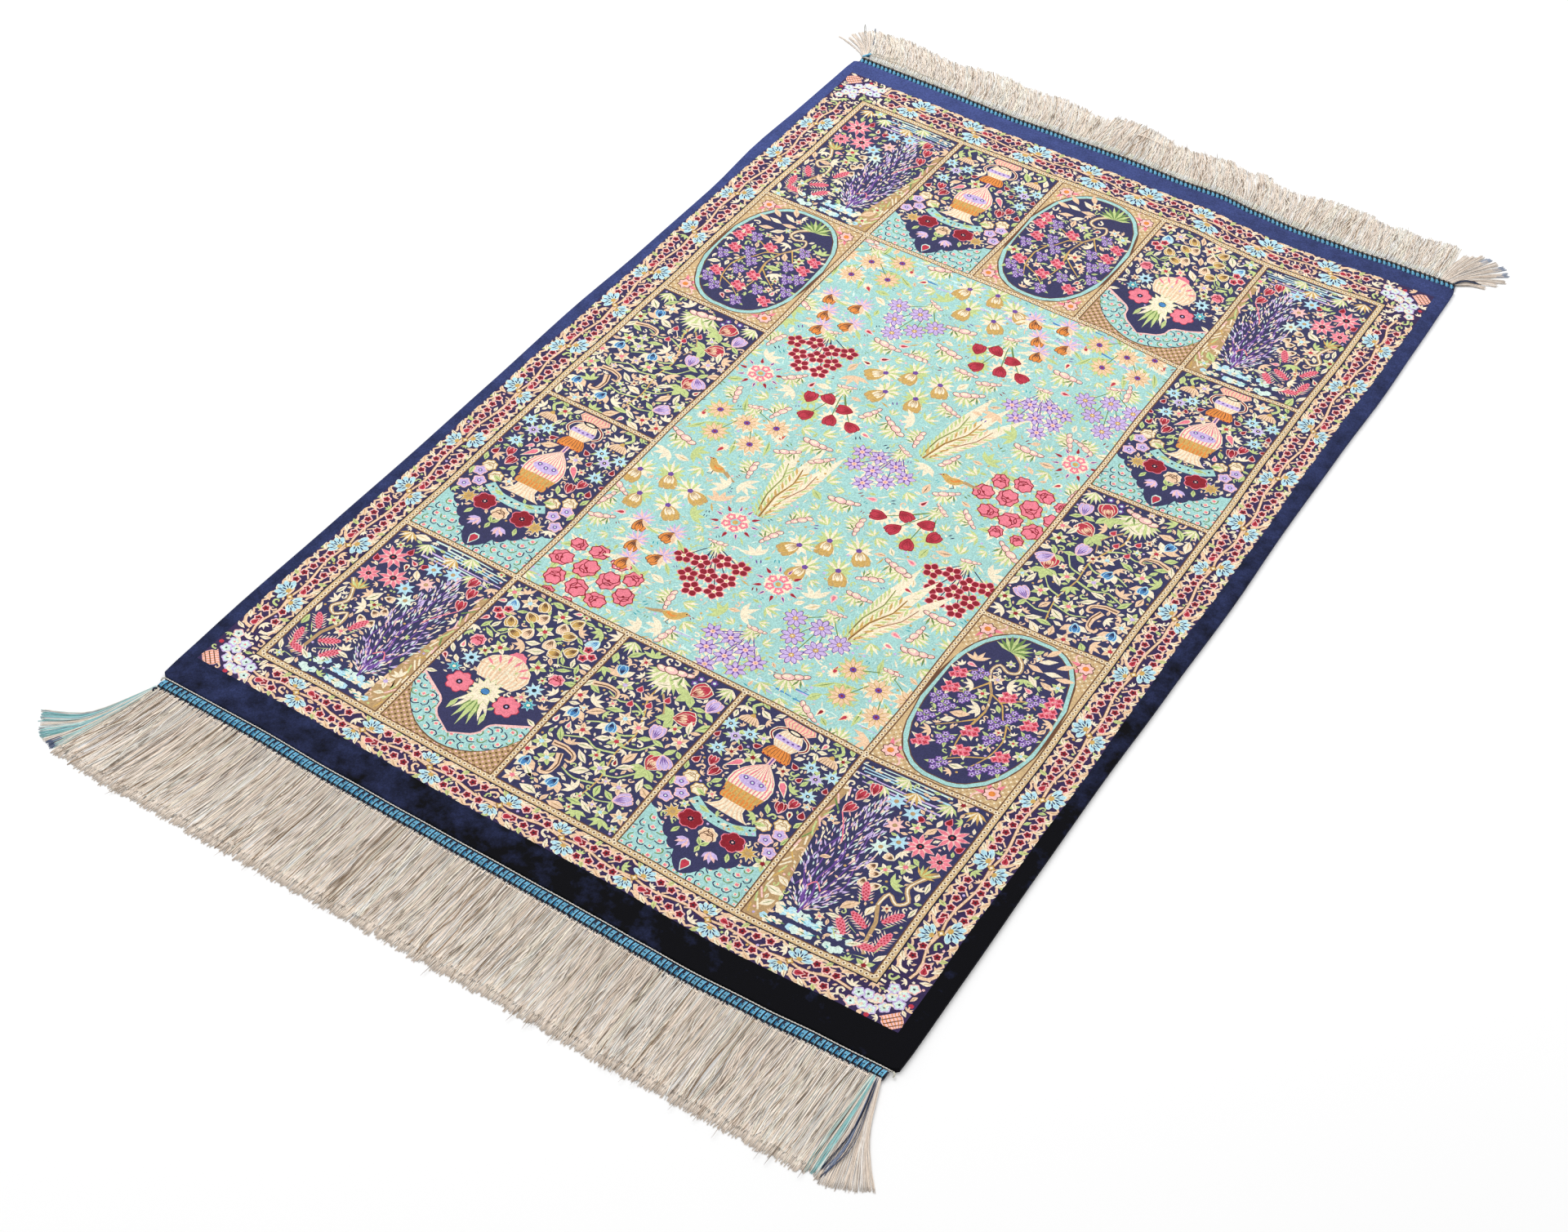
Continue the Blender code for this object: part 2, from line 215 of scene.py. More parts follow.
class Cover:
    """Which small squares of the chart already hold drawing."""

    CELL = 1.2
    COMPACT = 22.0                     # a smaller form is marked inside too, and not on its outline alone
    WIDE = 4 * COMPACT                 # a larger one is a ground

    def __init__(self, seen=0):
        self.cells = set()
        self.seen = seen

    def mark(self, shapes):
        """Takes in the outlines drawn since the last call, apart from the wide grounds."""
        for outline, _, _ in shapes[self.seen:]:
            xs, ys = [x for x, _ in outline], [y for _, y in outline]
            wide, high = max(xs) - min(xs), max(ys) - min(ys)
            if wide > self.WIDE or high > self.WIDE:
                continue
            mx, my = sum(xs) / len(xs), sum(ys) / len(ys)
            inward = (0.0, 0.3, 0.65) if max(wide, high) < self.COMPACT else (0.0,)
            for (x0, y0), (x1, y1) in zip(outline, outline[1:] + outline[:1]):
                for t in (0.0, 0.5):
                    x, y = x0 + (x1 - x0) * t, y0 + (y1 - y0) * t
                    for k in inward:
                        self.cells.add((int((x + (mx - x) * k) // self.CELL),
                                        int((y + (my - y) * k) // self.CELL)))
        self.seen = len(shapes)

    def free(self, x, y, reach):
        """Whether a circle of that radius is bare."""
        low, high = int(-reach // self.CELL), int(reach // self.CELL) + 1
        ci, cj = int(x // self.CELL), int(y // self.CELL)
        return not any((ci + i, cj + j) in self.cells for i in range(low, high) for j in range(low, high)
                       if i * i + j * j <= (reach / self.CELL) ** 2)


def fill_gaps(pen, cover, limits, passes, tries, rng, inside=lambda x, y: True):
    """Small motifs in the bare places of a chart rectangle; passes is [(clear radius, motifs)]."""
    x0, y0, x1, y1 = limits
    for reach, motifs in passes:
        for _ in range(tries):
            x, y = rng.uniform(x0, x1), rng.uniform(y0, y1)
            if inside(x, y) and cover.free(x, y, reach):
                rng.choice(motifs)(pen.at(x, y, rng.uniform(0, 360), reach), rng)
                cover.mark(pen.shapes)


# --------------------------------------------------------------------------------- small motifs

def bloom(pen, petals, length, width, coat, edge, heart, core=None, shape=PETAL):
    """Separate outlined petals around a heart."""
    turns = [360 * i / petals for i in range(petals)]
    for turn in turns:
        pen.at(0, 0, turn).blade(length, width, edge, shape)
    for turn in turns:
        pen.at(0, 0, turn).blade(length - RIM, width - 1.5 * RIM, coat, shape, start=0.2 * length)
    pen.disc(0, 0, 0.24 * length, heart)
    if core:
        pen.disc(0, 0, 0.1 * length, core, 5)


def pansy(pen, radius=3.9, coat="wine", edge="blush"):
    pen.lobed(radius, 5, 0.2, edge)
    pen.lobed(radius - 1.0, 5, 0.3, coat)
    pen.lobed(radius * 0.4, 5, 0.6, "ink", steps=2)


def star(pen, radius, points, coat, edge, heart):
    """A spiky flower."""
    pen.lobed(radius, points, 0.5, edge, steps=2)
    pen.lobed(radius - 1.1, points, 0.5, coat, steps=2)
    pen.disc(0, 0, radius * 0.24, heart)


def bud(pen, length, width, coat, edge="cream"):
    pen.blade(length, width, edge, DROP[::-1])
    pen.at(0, 0.1 * length).blade(0.78 * length, width - 1.8 * RIM, coat, DROP[::-1])


def tulip(pen, length, width, coat, edge, streak):
    for turn in (-16, 16, 0):
        pen.at(0, 0, turn).blade(length, 0.62 * width, edge, PETAL)
        pen.at(0, 0, turn).blade(length - RIM, 0.62 * width - 1.3 * RIM, coat, PETAL, start=1.0)
    for turn in (-18, -6, 6, 18):
        pen.at(0, 0, turn).blade(0.7 * length, 0.9, streak, start=1.5)


def palmette(pen, length, spread):
    """A half-open fan of white-rimmed petals on a small gold cup."""
    turns = [turn * spread for turn in (-76, 76, -38, 38, 0)]
    for turn in turns:
        petal = pen.at(0, 0, turn)
        petal.blade(length, 0.5 * length, "mist", PETAL)
        petal.blade(length - 0.7, 0.5 * length - 1.4, "sky", PETAL, start=0.2 * length)
        petal.blade(0.6 * length, 0.13 * length, "navy", start=0.15 * length)
    for turn in (-57 * spread, -19 * spread, 19 * spread, 57 * spread):
        pen.at(0, 0, turn).blade(0.86 * length, 0.12 * length, "navy", start=0.4 * length)
    pen.oval(0, 0.3, 0.24 * length, 0.18 * length, "gold", 8)


def fan(pen, length, blades, spread, coat, other, width=0.16):
    """A tuft of grass or palm blades."""
    for i in range(blades):
        turn = spread * (i / (blades - 1) - 0.5) * 2
        reach = length * (1.0 - 0.25 * abs(turn) / spread)
        pen.at(0, 0, turn).blade(reach, width * length, other if i % 2 else coat)


def rose(pen, radius, coat, edge, fold):
    pen.lobed(radius, 7, 0.16, edge)
    pen.lobed(radius - RIM, 7, 0.2, coat)
    for x, y, size, turn in ((0, 0.05, 0.5, 0), (-0.3, -0.35, 0.42, 60), (0.35, -0.3, 0.42, -50),
                             (0.1, 0.55, 0.4, 150)):
        arc = pen.at(x * radius, y * radius, turn)
        reach = size * radius
        arc.line([(-reach, 0), (-0.5 * reach, 0.7 * reach), (0.5 * reach, 0.7 * reach), (reach, 0)],
                 0.8, fold, steps=2)
    pen.disc(0, 0, 0.14 * radius, fold, 5)


def leaf(pen, length, width, coat="leaf", vein="moss", bend=0.0):
    pen.blade(length, width, coat, LEAF, bend)
    pen.blade(0.8 * length, 0.8, vein, LEAF, 0.6 * bend)


def leaves(pen, places, length, width, coat="leaf", bend=0.0):
    """Equal leaves, each at an (x, y, turn)."""
    for x, y, turn in places:
        leaf(pen.at(x, y, turn), length, width, coat, bend=bend)


def scroll(pen, length, width, yarn):
    """A comma-shaped leaf that curls over at its end."""
    pen.line([(0, 0), (0.45 * length, 0.16 * length), (0.9 * length, 0.1 * length),
              (length, -0.16 * length), (0.8 * length, -0.2 * length)], width, yarn, 0.35)


def bell(pen, radius):
    """A ribbed bell flower that hangs open."""
    pen.fill([(-radius, 0), (radius, 0), (0.92 * radius, 0.5 * radius), (0.5 * radius, 0.95 * radius),
              (0, 1.1 * radius), (-0.5 * radius, 0.95 * radius), (-0.92 * radius, 0.5 * radius)], "peach")
    for share in (-0.75, -0.45, -0.15, 0.15, 0.45, 0.75):
        pen.fill([(share * radius - 0.3, 0), (share * radius + 0.3, 0), (0.55 * share * radius, radius)],
                 "brown")
    pen.lobed(0.3 * radius, 3, 0.3, "gold", 0, 1.1 * radius)


def ribbed(pen, profile, ribs, coat, rib, share=0.3):
    """A turned form from its (height, half width) pairs, with upright ribs that follow its sides."""
    pen.fill([(w, y) for y, w in profile] + [(-w, y) for y, w in reversed(profile)], coat)
    for i in range(ribs):
        middle = -1 + (2 * i + 1) / ribs
        low, high = middle - share / ribs, middle + share / ribs
        pen.fill([(w * high, y) for y, w in profile] + [(w * low, y) for y, w in reversed(profile)], rib)


def cloud(pen, size=1.0):
    """Overlapping pale heads over a wide tuft of hanging grass."""
    pen = pen.at(0, 0, size=size)
    fan(pen.at(-2, 1, 182), 17, 9, 62, "leaf", "cream", 0.19)
    fan(pen.at(7, 2, 170), 12, 5, 40, "cream", "moss", 0.14)
    for x, y, wide, high, turn in ((10.5, 4.5, 3.8, 2.4, 24), (-9, 0.2, 4.4, 3.0, -14),
                                   (4.8, 3.0, 4.6, 3.2, 12), (-2.4, 1.6, 5.4, 3.8, 0)):
        head = pen.at(x, y, turn)
        head.oval(0, 0, wide, high, "brown", 9)
        head.oval(0, 0.1, wide - 0.6, high - 0.6, "blush", 9)
        head.oval(-0.2 * wide, 0.2 * high, 0.55 * wide, 0.45 * high, "cream", 7)


def loose_leaf(pen, rng):
    """A leaf of about one unit's radius, for gaps."""
    coat, vein = rng.choice((("leaf", "moss"), ("cream", "gold"), ("cream", "moss"), ("peach", "tan"),
                             ("peach", "brown")))
    bend = rng.uniform(-0.6, 0.6)
    pen.at(0, -1.3).blade(2.7, 1.35, coat, LEAF, bend)
    pen.at(0, -1.2).blade(2.1, 0.18, vein, LEAF, 0.6 * bend)


def loose_sprig(pen, rng):
    """Three short leaves from one point."""
    yarn = rng.choice(("leaf", "cream", "peach", "cream"))
    for turn in (-58, -22, 22, 58):
        pen.at(0, -0.9, turn).blade(rng.uniform(1.6, 2.1), 0.62, yarn)


def loose_rosette(pen, rng):
    """Leaves all round a small bud."""
    coat, other = rng.choice((("cream", "peach"), ("leaf", "cream"), ("peach", "cream"), ("cream", "leaf")))
    for i in range(6):
        out = pen.at(0, 0, 60 * i)
        out.blade(1.4, 0.74, other if i % 2 else coat)
        out.blade(1.0, 0.12, "tan" if i % 2 else "moss")
    pen.lobed(0.42, 5, 0.3, rng.choice(("red", "rose", "wine", "sky", "lilac")), steps=2)


def loose_curl(pen, rng):
    pen.line([(-1.0, -0.5), (-0.2, 0.6), (0.7, 0.5), (0.8, -0.3), (0.2, -0.4)], 0.62,
             rng.choice(("cream", "peach", "leaf")), 0.5)


def loose_bud(pen, rng):
    pen.at(0, -0.9).blade(1.9, 1.1, rng.choice(("cream", "blush")), DROP[::-1])
    pen.at(0, -0.6).blade(1.2, 0.55, rng.choice(("red", "wine", "rose")), DROP[::-1])


def loose_dot(pen, rng):
    pen.lobed(0.9, 5, 0.3, rng.choice(("cream", "blush", "lilac", "leaf", "gold")), steps=2)


PANEL_GAPS = ((5.4, (loose_rosette, loose_sprig, loose_rosette, loose_leaf)),
              (4.2, (loose_leaf, loose_sprig, loose_rosette, loose_bud)),
              (3.0, (loose_leaf, loose_sprig, loose_rosette, loose_curl)),
              (2.1, (loose_leaf, loose_leaf, loose_curl, loose_sprig)),
              (1.3, (loose_leaf, loose_dot, loose_leaf)))
BORDER_GAPS = ((3.4, (loose_curl, loose_sprig)), (2.3, (loose_curl, loose_leaf, loose_sprig)),
               (1.4, (loose_leaf, loose_dot)))


def floret(pen, radius, stem):
    """A small flower of four lobes on a curled stem."""
    pen.line([(-3.6, -1), (-1.4, 2.6), (2, 2.8), (3, 0.6)], 0.9, stem)
    pen.lobed(radius, 4, 0.35, "cream")
    pen.lobed(radius - 0.7, 4, 0.4, "rose")


# --------------------------------------------------------------------------------------- border

VINE = 1.7
VINE_SWING = 2.6
PANSY_PITCH = 9.6
EDGING_PITCH = 7.2                     # the leaves along the border's two edges
SCALLOP_STEP, SCALLOP = 2.0, 2.6
NODE_OFFSET = 4.6


def border_node(pen, half, big):
    """A knot of the vine with a palmette on either side of it, the outward one large if big is set."""
    for turn, large in ((0, big), (180, not big)):
        side = pen.at(NODE_OFFSET if large else -NODE_OFFSET, 0, turn)
        for lean in (-1, 1):
            side.line([(0, 2.4), (3.4 * lean, 2.4), (6.0 * lean, 5.0)], 1.8, "peach", 0.6)
        palmette(side.at(0, 4.4), half - (4.4 if large else 5.6), 1.0 if large else 0.85)
    pen.lobed(3.4, 4, 0.4, "brown")
    pen.lobed(2.8, 4, 0.4, "gold")
    pen.lobed(1.4, 4, 0.4, "cream")


def border_stretch(pen, start, end, half, side):
    """Vine, two rows of pansies, a bud and edging leaves between two nodes."""
    length = end - start
    rows = half / 2.35
    wave = [(start + length * t, side * bend * VINE_SWING) for t, bend in
            ((0, 0), (0.15, -0.7), (0.36, -0.5), (0.5, 0.3), (0.7, 0.8), (0.88, 0.3), (1, 0))]
    count = max(2, round((length - 20) / PANSY_PITCH))
    for turn in (1, -1):
        edge = turn * (half - 1.9)
        reach = 0.42 * length if turn == side else 0.24 * length
        bow = [(start + 4, turn * 4), (start + 0.12 * length, 0.75 * edge),
               (start + 0.12 * length + 0.5 * reach, edge), (start + 0.12 * length + reach, 0.93 * edge)]
        pen.line(bow, 3.2, "cream" if turn == side else "peach", 0.35)
        scallops = [(start + SCALLOP_STEP * k,
                     turn * (half - 1.0 - SCALLOP * abs(math.sin(math.pi * k / 5.0))))
                    for k in range(2, int(length / SCALLOP_STEP))]
        pen.line(scallops, 1.7, "peach", steps=1)
        for k in range(round(length / EDGING_PITCH)):
            lean = (38, -62, 70)[k % 3]
            edging = pen.at(start + EDGING_PITCH * (k + 0.5), turn * (half - 0.2), tall=-turn).at(0, 0, lean)
            coat = ("cream", "peach", "cream", "leaf")[k % 4]
            edging.blade(8.4, 3.9, coat, LEAF, 2.4 if lean > 0 else -2.4)
            edging.blade(6.4, 0.7, "tan", LEAF, 1.6 if lean > 0 else -1.6)
    pen.line(wave, VINE + 0.9, "brown")
    pen.line(wave, VINE, "peach")
    for row in (1, -1):
        for i in range(count):
            t = start + 12.5 + (length - 22.5) * (i + (0.5 if row == side else 0.15)) / count
            swing = side * 1.4 * math.sin(math.tau * (t - start) / length)
            if i % 2:
                pen.line([(t, row * rows * 0.5 + swing), (t - 4, swing * 0.5)], 1.2, "peach", steps=1)
            for lean in (-70, 60):
                pen.at(t, row * rows + swing, lean if row > 0 else lean + 180).blade(6.4, 2.6, "peach")
            pansy(pen.at(t, row * rows + swing, 30 * i))
    flower = pen.at(start + 6.4, -side * 6.2, -75 if side > 0 else -105)
    bud(flower, 8.6, 6.0, "red", "blush")
    flower.blade(6.4, 1.3, "wine", start=1.4)


def border_run(pen, stops, start, end, half):
    """One side of the main border; the pen's x runs along it and its y points outward."""
    places = [start] + list(stops) + [end]
    for k, (a, b) in enumerate(zip(places, places[1:])):
        border_stretch(pen, a, b, half, 1 if k % 2 else -1)
    for k, stop in enumerate(stops):
        border_node(pen.at(stop, 0), half, k % 2 == 0)


def border_corner(pen):
    """A striped basket set across the corner with a bunch of small flowers; the pen's -x, -y is outward."""
    for x, y in ((2, -1), (9, -7), (-5, 6), (9, 3), (2, 9), (16, -6), (16, 3), (-4, 14), (4, 16),
                 (23, -8), (22, 1), (-7, 22)):
        scroll(pen.at(x, y - 3, 30 + 9 * x), 8, 2.4, "cream")
        spot = pen.at(x, y, 20 * x)
        spot.lobed(4.8, 5, 0.22, "lilac" if (x + y) % 3 else "blush")
        spot.lobed(3.8, 5, 0.3, "mist")
        spot.lobed(1.3, 5, 0.5, "ink" if (x + y) % 2 else "rose", steps=2)
    basket = pen.at(-7.5, -7.5, -45)
    ribbed(basket, [(-6.5, 4.5), (-3, 6.8), (1, 7.4), (4, 6.2), (5.5, 7.4)], 6, "blush", "orange", 0.3)
    for y in (-4.6, -1.4, 1.8):
        basket.box(-6.6, y, 6.6, y + 0.8, "brown")
    for x, y, yarn in ((9, -12, "red"), (-12, 9, "red"), (14, -12.5, "peach")):
        pen.disc(x, y, 1.9, yarn)


# --------------------------------------------------------------------------------------- panels

def vase(pen):
    """A ribbed ewer of two bulbs on a flaring foot."""
    ribbed(pen, [(81, 9), (86, 14), (90, 12)], 9, "peach", "rose")
    for half in pen.halves():
        half.line([(7, 80), (13, 76), (15, 69), (11, 64)], 2.8, "cream")
        half.line([(7, 80), (13, 76), (15, 69), (11, 64)], 1.2, "wine")
    ribbed(pen, [(59, 7), (64, 10), (70, 10.6), (76, 8.4), (79, 6)], 7, "cream", "peach", 0.4)
    pen.oval(0, 79.5, 6.4, 2.6, "ink", 12)
    pen.oval(0, 79.3, 4.2, 1.3, "cream", 10)
    pen.fill([(-10.6, 66), (10.6, 66), (10.4, 71), (-10.4, 71)], "lilac")
    for x in (-8, -4, 0, 4, 8):
        pen.disc(x, 68.2 + 0.03 * x * x, 1.1, "violet", 6)
    ribbed(pen, [(47, 9.5), (50, 11.5), (55, 10), (59, 7)], 8, "orange", "brown", 0.2)
    for x in (-9, -5.4, -1.8, 1.8, 5.4, 9):
        pen.disc(x, 48.2, 1.9, "orange", 7)
        pen.disc(x, 47.2, 0.9, "wine", 5)
    pen.box(-1.9, 37, 1.9, 48, "blush")
    pen.box(-0.6, 37, 0.6, 48, "violet")
    ribbed(pen, [(-1, 12.5), (3, 15), (10, 16.8), (18, 16.6), (26, 13.4), (33, 8), (38, 3), (40, 1.2)],
           11, "cream", "rose", 0.36)
    pen.fill([(-15, 3), (-12.5, -1), (12.5, -1), (15, 3), (16, 7), (-16, 7)], "gold")
    for x in range(-14, 15, 4):
        pen.box(x - 0.4, -1, x + 0.4, 6.6, "orange")
    pen.oval(0, 17, 11.5, 5.6, "lilac", 14)
    for x in (-6.5, 0, 6.5):
        pen.disc(x, 17 + 0.04 * x * x, 2.1, "violet", 8)
        pen.disc(x, 17 + 0.04 * x * x, 1.0, "mist", 6)
    ribbed(pen, [(-8, 12.5), (-6, 13.6), (-3, 13.6), (-1, 12.5)], 9, "orange", "gold", 0.4)
    ribbed(pen, [(-21, 18), (-18, 13.5), (-13, 9.6), (-8, 9.2)], 7, "cream", "peach", 0.4)


def vase_panel(pen, high):
    """A ewer over a garland, on navy that ends in a scalloped point above a turquoise ground."""
    pen = pen.at(0, 0, tall=high / 91)
    pen.box(-50, -92, 50, -20, "aqua")
    for half in pen.halves():
        for i in range(34):
            spot = half.at(3 + 7.2 * (i % 7) + 3.4 * (i // 7 % 2), -89 + 8.2 * (i // 7), 50 * i)
            floret(spot, 2.4 if i % 2 else 1.6, "navy" if i % 3 else "moss")
    edge = []
    for (x0, y0), (x1, y1) in zip(((50, -40), (41, -47), (31, -55), (22, -66), (13, -73)),
                                  ((41, -47), (31, -55), (22, -66), (13, -73), (0, -89))):
        for share, out in ((0, 0.0), (0.2, 2.2), (0.5, 3.0), (0.8, 2.2)):
            edge.append((x0 + (x1 - x0) * share + 0.5 * out, y0 + (y1 - y0) * share - 0.8 * out))
    pen.fill([(50, 92)] + edge + [(0, -89)] + [(-x, y) for x, y in reversed(edge)] + [(-50, 92)],
             "ground")
    vase(pen)
    pen.line([(-26, -22), (-14, -29), (0, -31), (14, -29), (26, -22)], 8.5, "aqua")
    for x in (-22, -14.5, -7, 0, 7, 14.5, 22):
        pen.disc(x, -30.5 + 0.014 * x * x, 1.1, "ink", 6)
    for half in pen.halves():
        half.line([(34, 90), (38, 84), (34, 78)], 2.6, "leaf")
        for x, y, turn in ((20, 84, 40), (27, 88, -60), (45, 86, 30), (46, 74, 170), (22, 72, 200)):
            leaf(half.at(x, y, turn), 9, 4.4, "leaf" if x % 2 else "cream")
        bell(half.at(33.5, 66), 8.2)
        for x, y, yarn in ((26, 57, "sky"), (43, 58, "sky"), (34, 49, "lilac"), (38, 31, "sky")):
            for turn in (10, 130, 250):
                half.at(x, y, turn).blade(9.5, 3, "leaf")
            star(half.at(x, y), 7.2, 8, yarn, "mist", "ink")
            half.disc(x, y, 0.8, "cream", 5)
        for x, y, turn, size in ((18.5, 48, 50, 8), (46, 40, 10, 7.5), (24, 38, -20, 7), (45, 8, 15, 9),
                                 (47, 22, -30, 6)):
            bud(half.at(x, y, turn), size, 0.72 * size, "wine", "blush")
        bud(half.at(16, 32, -145), 17, 6.4, "rose", "cream")
        tulip(half.at(29.5, 3, 14), 12, 8.5, "wine", "blush", "red")
        tulip(half.at(33, 12, -8), 11, 7, "red", "blush", "wine")
        for x, y in ((38, -5), (27, -13)):
            rose(half.at(x, y), 6.6, "cream", "gold", "tan")
        leaves(half, ((20, -16, -70), (45, -2, -20), (24, -2, 30), (46, -22, -10), (19, -26, 100)), 10, 4.6)
        for x, y in ((41, -14), (35, -24), (43, -33)):
            half.lobed(6.2, 5, 0.24, "blush", x, y)
            half.lobed(5.2, 5, 0.3, "lilac", x, y)
            half.disc(x, y, 1.9, "violet", 7)
            half.disc(x, y, 1.0, "mist", 5)
        star(half.at(31, -43), 8.5, 9, "gold", "cream", "tan")
        bloom(half.at(17.5, -41, 18), 6, 9.6, 9.0, "wine", "rose", "ink", "blush")
        fan(half.at(9.5, -58, -160), 12, 5, 42, "lilac", "blush", 0.3)
        leaf(half.at(20, -52, 200), 9, 4)
    rose(pen.at(0, -46), 7.6, "peach", "cream", "brown")
    leaves(pen, ((0, -58, -35), (0, -58, 35), (0, -58, 180)), 8, 4)
    bud(pen.at(0, -74, 180), 13, 8, "red", "mist")


def shield_panel(pen, high):
    """Lilies over a fan and a large spiky flower, on a pointed navy shield in a turquoise crescent."""
    pen = pen.at(0, 0, tall=high / 82)
    pen.box(-50, -85, 50, -20, "tan")
    for half in pen.halves():
        for x in range(1, 49, 3):
            for y in range(-82, -34, 3):
                half.lobed(1.1, 4, 0.3, "blush" if (x + y) % 2 else "brown", x, y, 1)
    pen.oval(0, -18, 53, 63, "brown", 40)
    pen.oval(0, -18, 53, 61.8, "aqua", 40)
    for row, (wide, high) in enumerate(((49, 56), (44, 48), (39, 40), (33, 32))):
        for k in range(-9, 10):
            angle = math.radians(9.6 * k + 4.8 * (row % 2))
            spot = pen.at(wide * math.sin(angle), -20 - high * math.cos(angle), 40 * k + 70 * row)
            floret(spot, 2.2 if (k + row) % 2 else 1.5, "navy" if k % 3 else "moss")
    shield = [(51, -27), (42, -33), (33, -39), (24, -43), (20, -48), (19, -54), (14, -60), (6, -64)]
    for grow, yarn in ((1.2, "blush"), (0.0, "ground")):
        lower = [(x + grow, y - grow) for x, y in smooth(shield, 2)]
        pen.fill([(51, 85)] + lower + [(0, -68 - grow)] + [(-x, y) for x, y in reversed(lower)]
                 + [(-51, 85)], yarn)
    for half in pen.halves():
        for x, y, turn in ((7, 66, -160), (18, 76, 150), (22, 60, 120), (9, 48, -170), (30, 50, 150),
                           (24, 38, 100)):
            leaf(half.at(x, y, turn + 120), 9, 3.4)
            tulip(half.at(x, y, turn), 11.5, 11, "peach" if x % 2 else "gold", "cream", "brown")
        tulip(half.at(38, 66, 160), 12, 10, "sky", "mist", "blue")
        for x, y in ((36, 54), (42, 49), (37, 45)):
            pansy(half.at(x, y), 4.4, "red", "blush")
        rose(half.at(35, 16), 6.4, "rose", "blush", "wine")
        leaf(half.at(28, 24, -60), 12, 4)
        leaf(half.at(42, 28, 20), 11, 4)
        star(half.at(28, -1), 7.8, 8, "sky", "mist", "ink")
        star(half.at(33, -15), 6.0, 7, "teal", "sky", "cream")
        half.line([(20, 45), (26, 30), (40, 34)], 0.9, "leaf")
        leaves(half, ((42, -4, -40), (45, -16, -70), (40, -26, -110), (46, 6, -20), (36, 32, 20)),
               10, 4, "cream")
    pen.at(0, 16).lobed(7.5, 9, 0.12, "rose")
    ribbed(pen, [(-12, 15), (-6, 19), (2, 20.5), (10, 17), (16, 9), (18, 3)], 11, "cream", "peach", 0.5)
    for turn in (-60, -36, -12, 12, 36, 60):
        pen.at(0, -4, turn).blade(22, 2.2, "rose", start=13)
    for turn in (168, 180, 192, 154, 206, 140, 220):
        pen.at(0, -24, turn).blade(36 - abs(turn - 180) * 0.35, 4.2, "cream" if turn % 12 else "leaf")
    for turn in (172, 188, 160, 200):
        pen.at(0, -24, turn).blade(30 - abs(turn - 180) * 0.3, 1.4, "moss")
    bloom(pen.at(0, -22), 13, 14.5, 5.5, "cream", "leaf", "ink", "blue", LEAF)
    pen.oval(0, -22, 3.4, 2.6, "blue", 9)
    for half in pen.halves():
        bloom(half.at(21, -25, 10), 7, 10.5, 8.2, "rose", "red", "ink", "lilac")
        leaf(half.at(12, -38, 190), 13, 4)


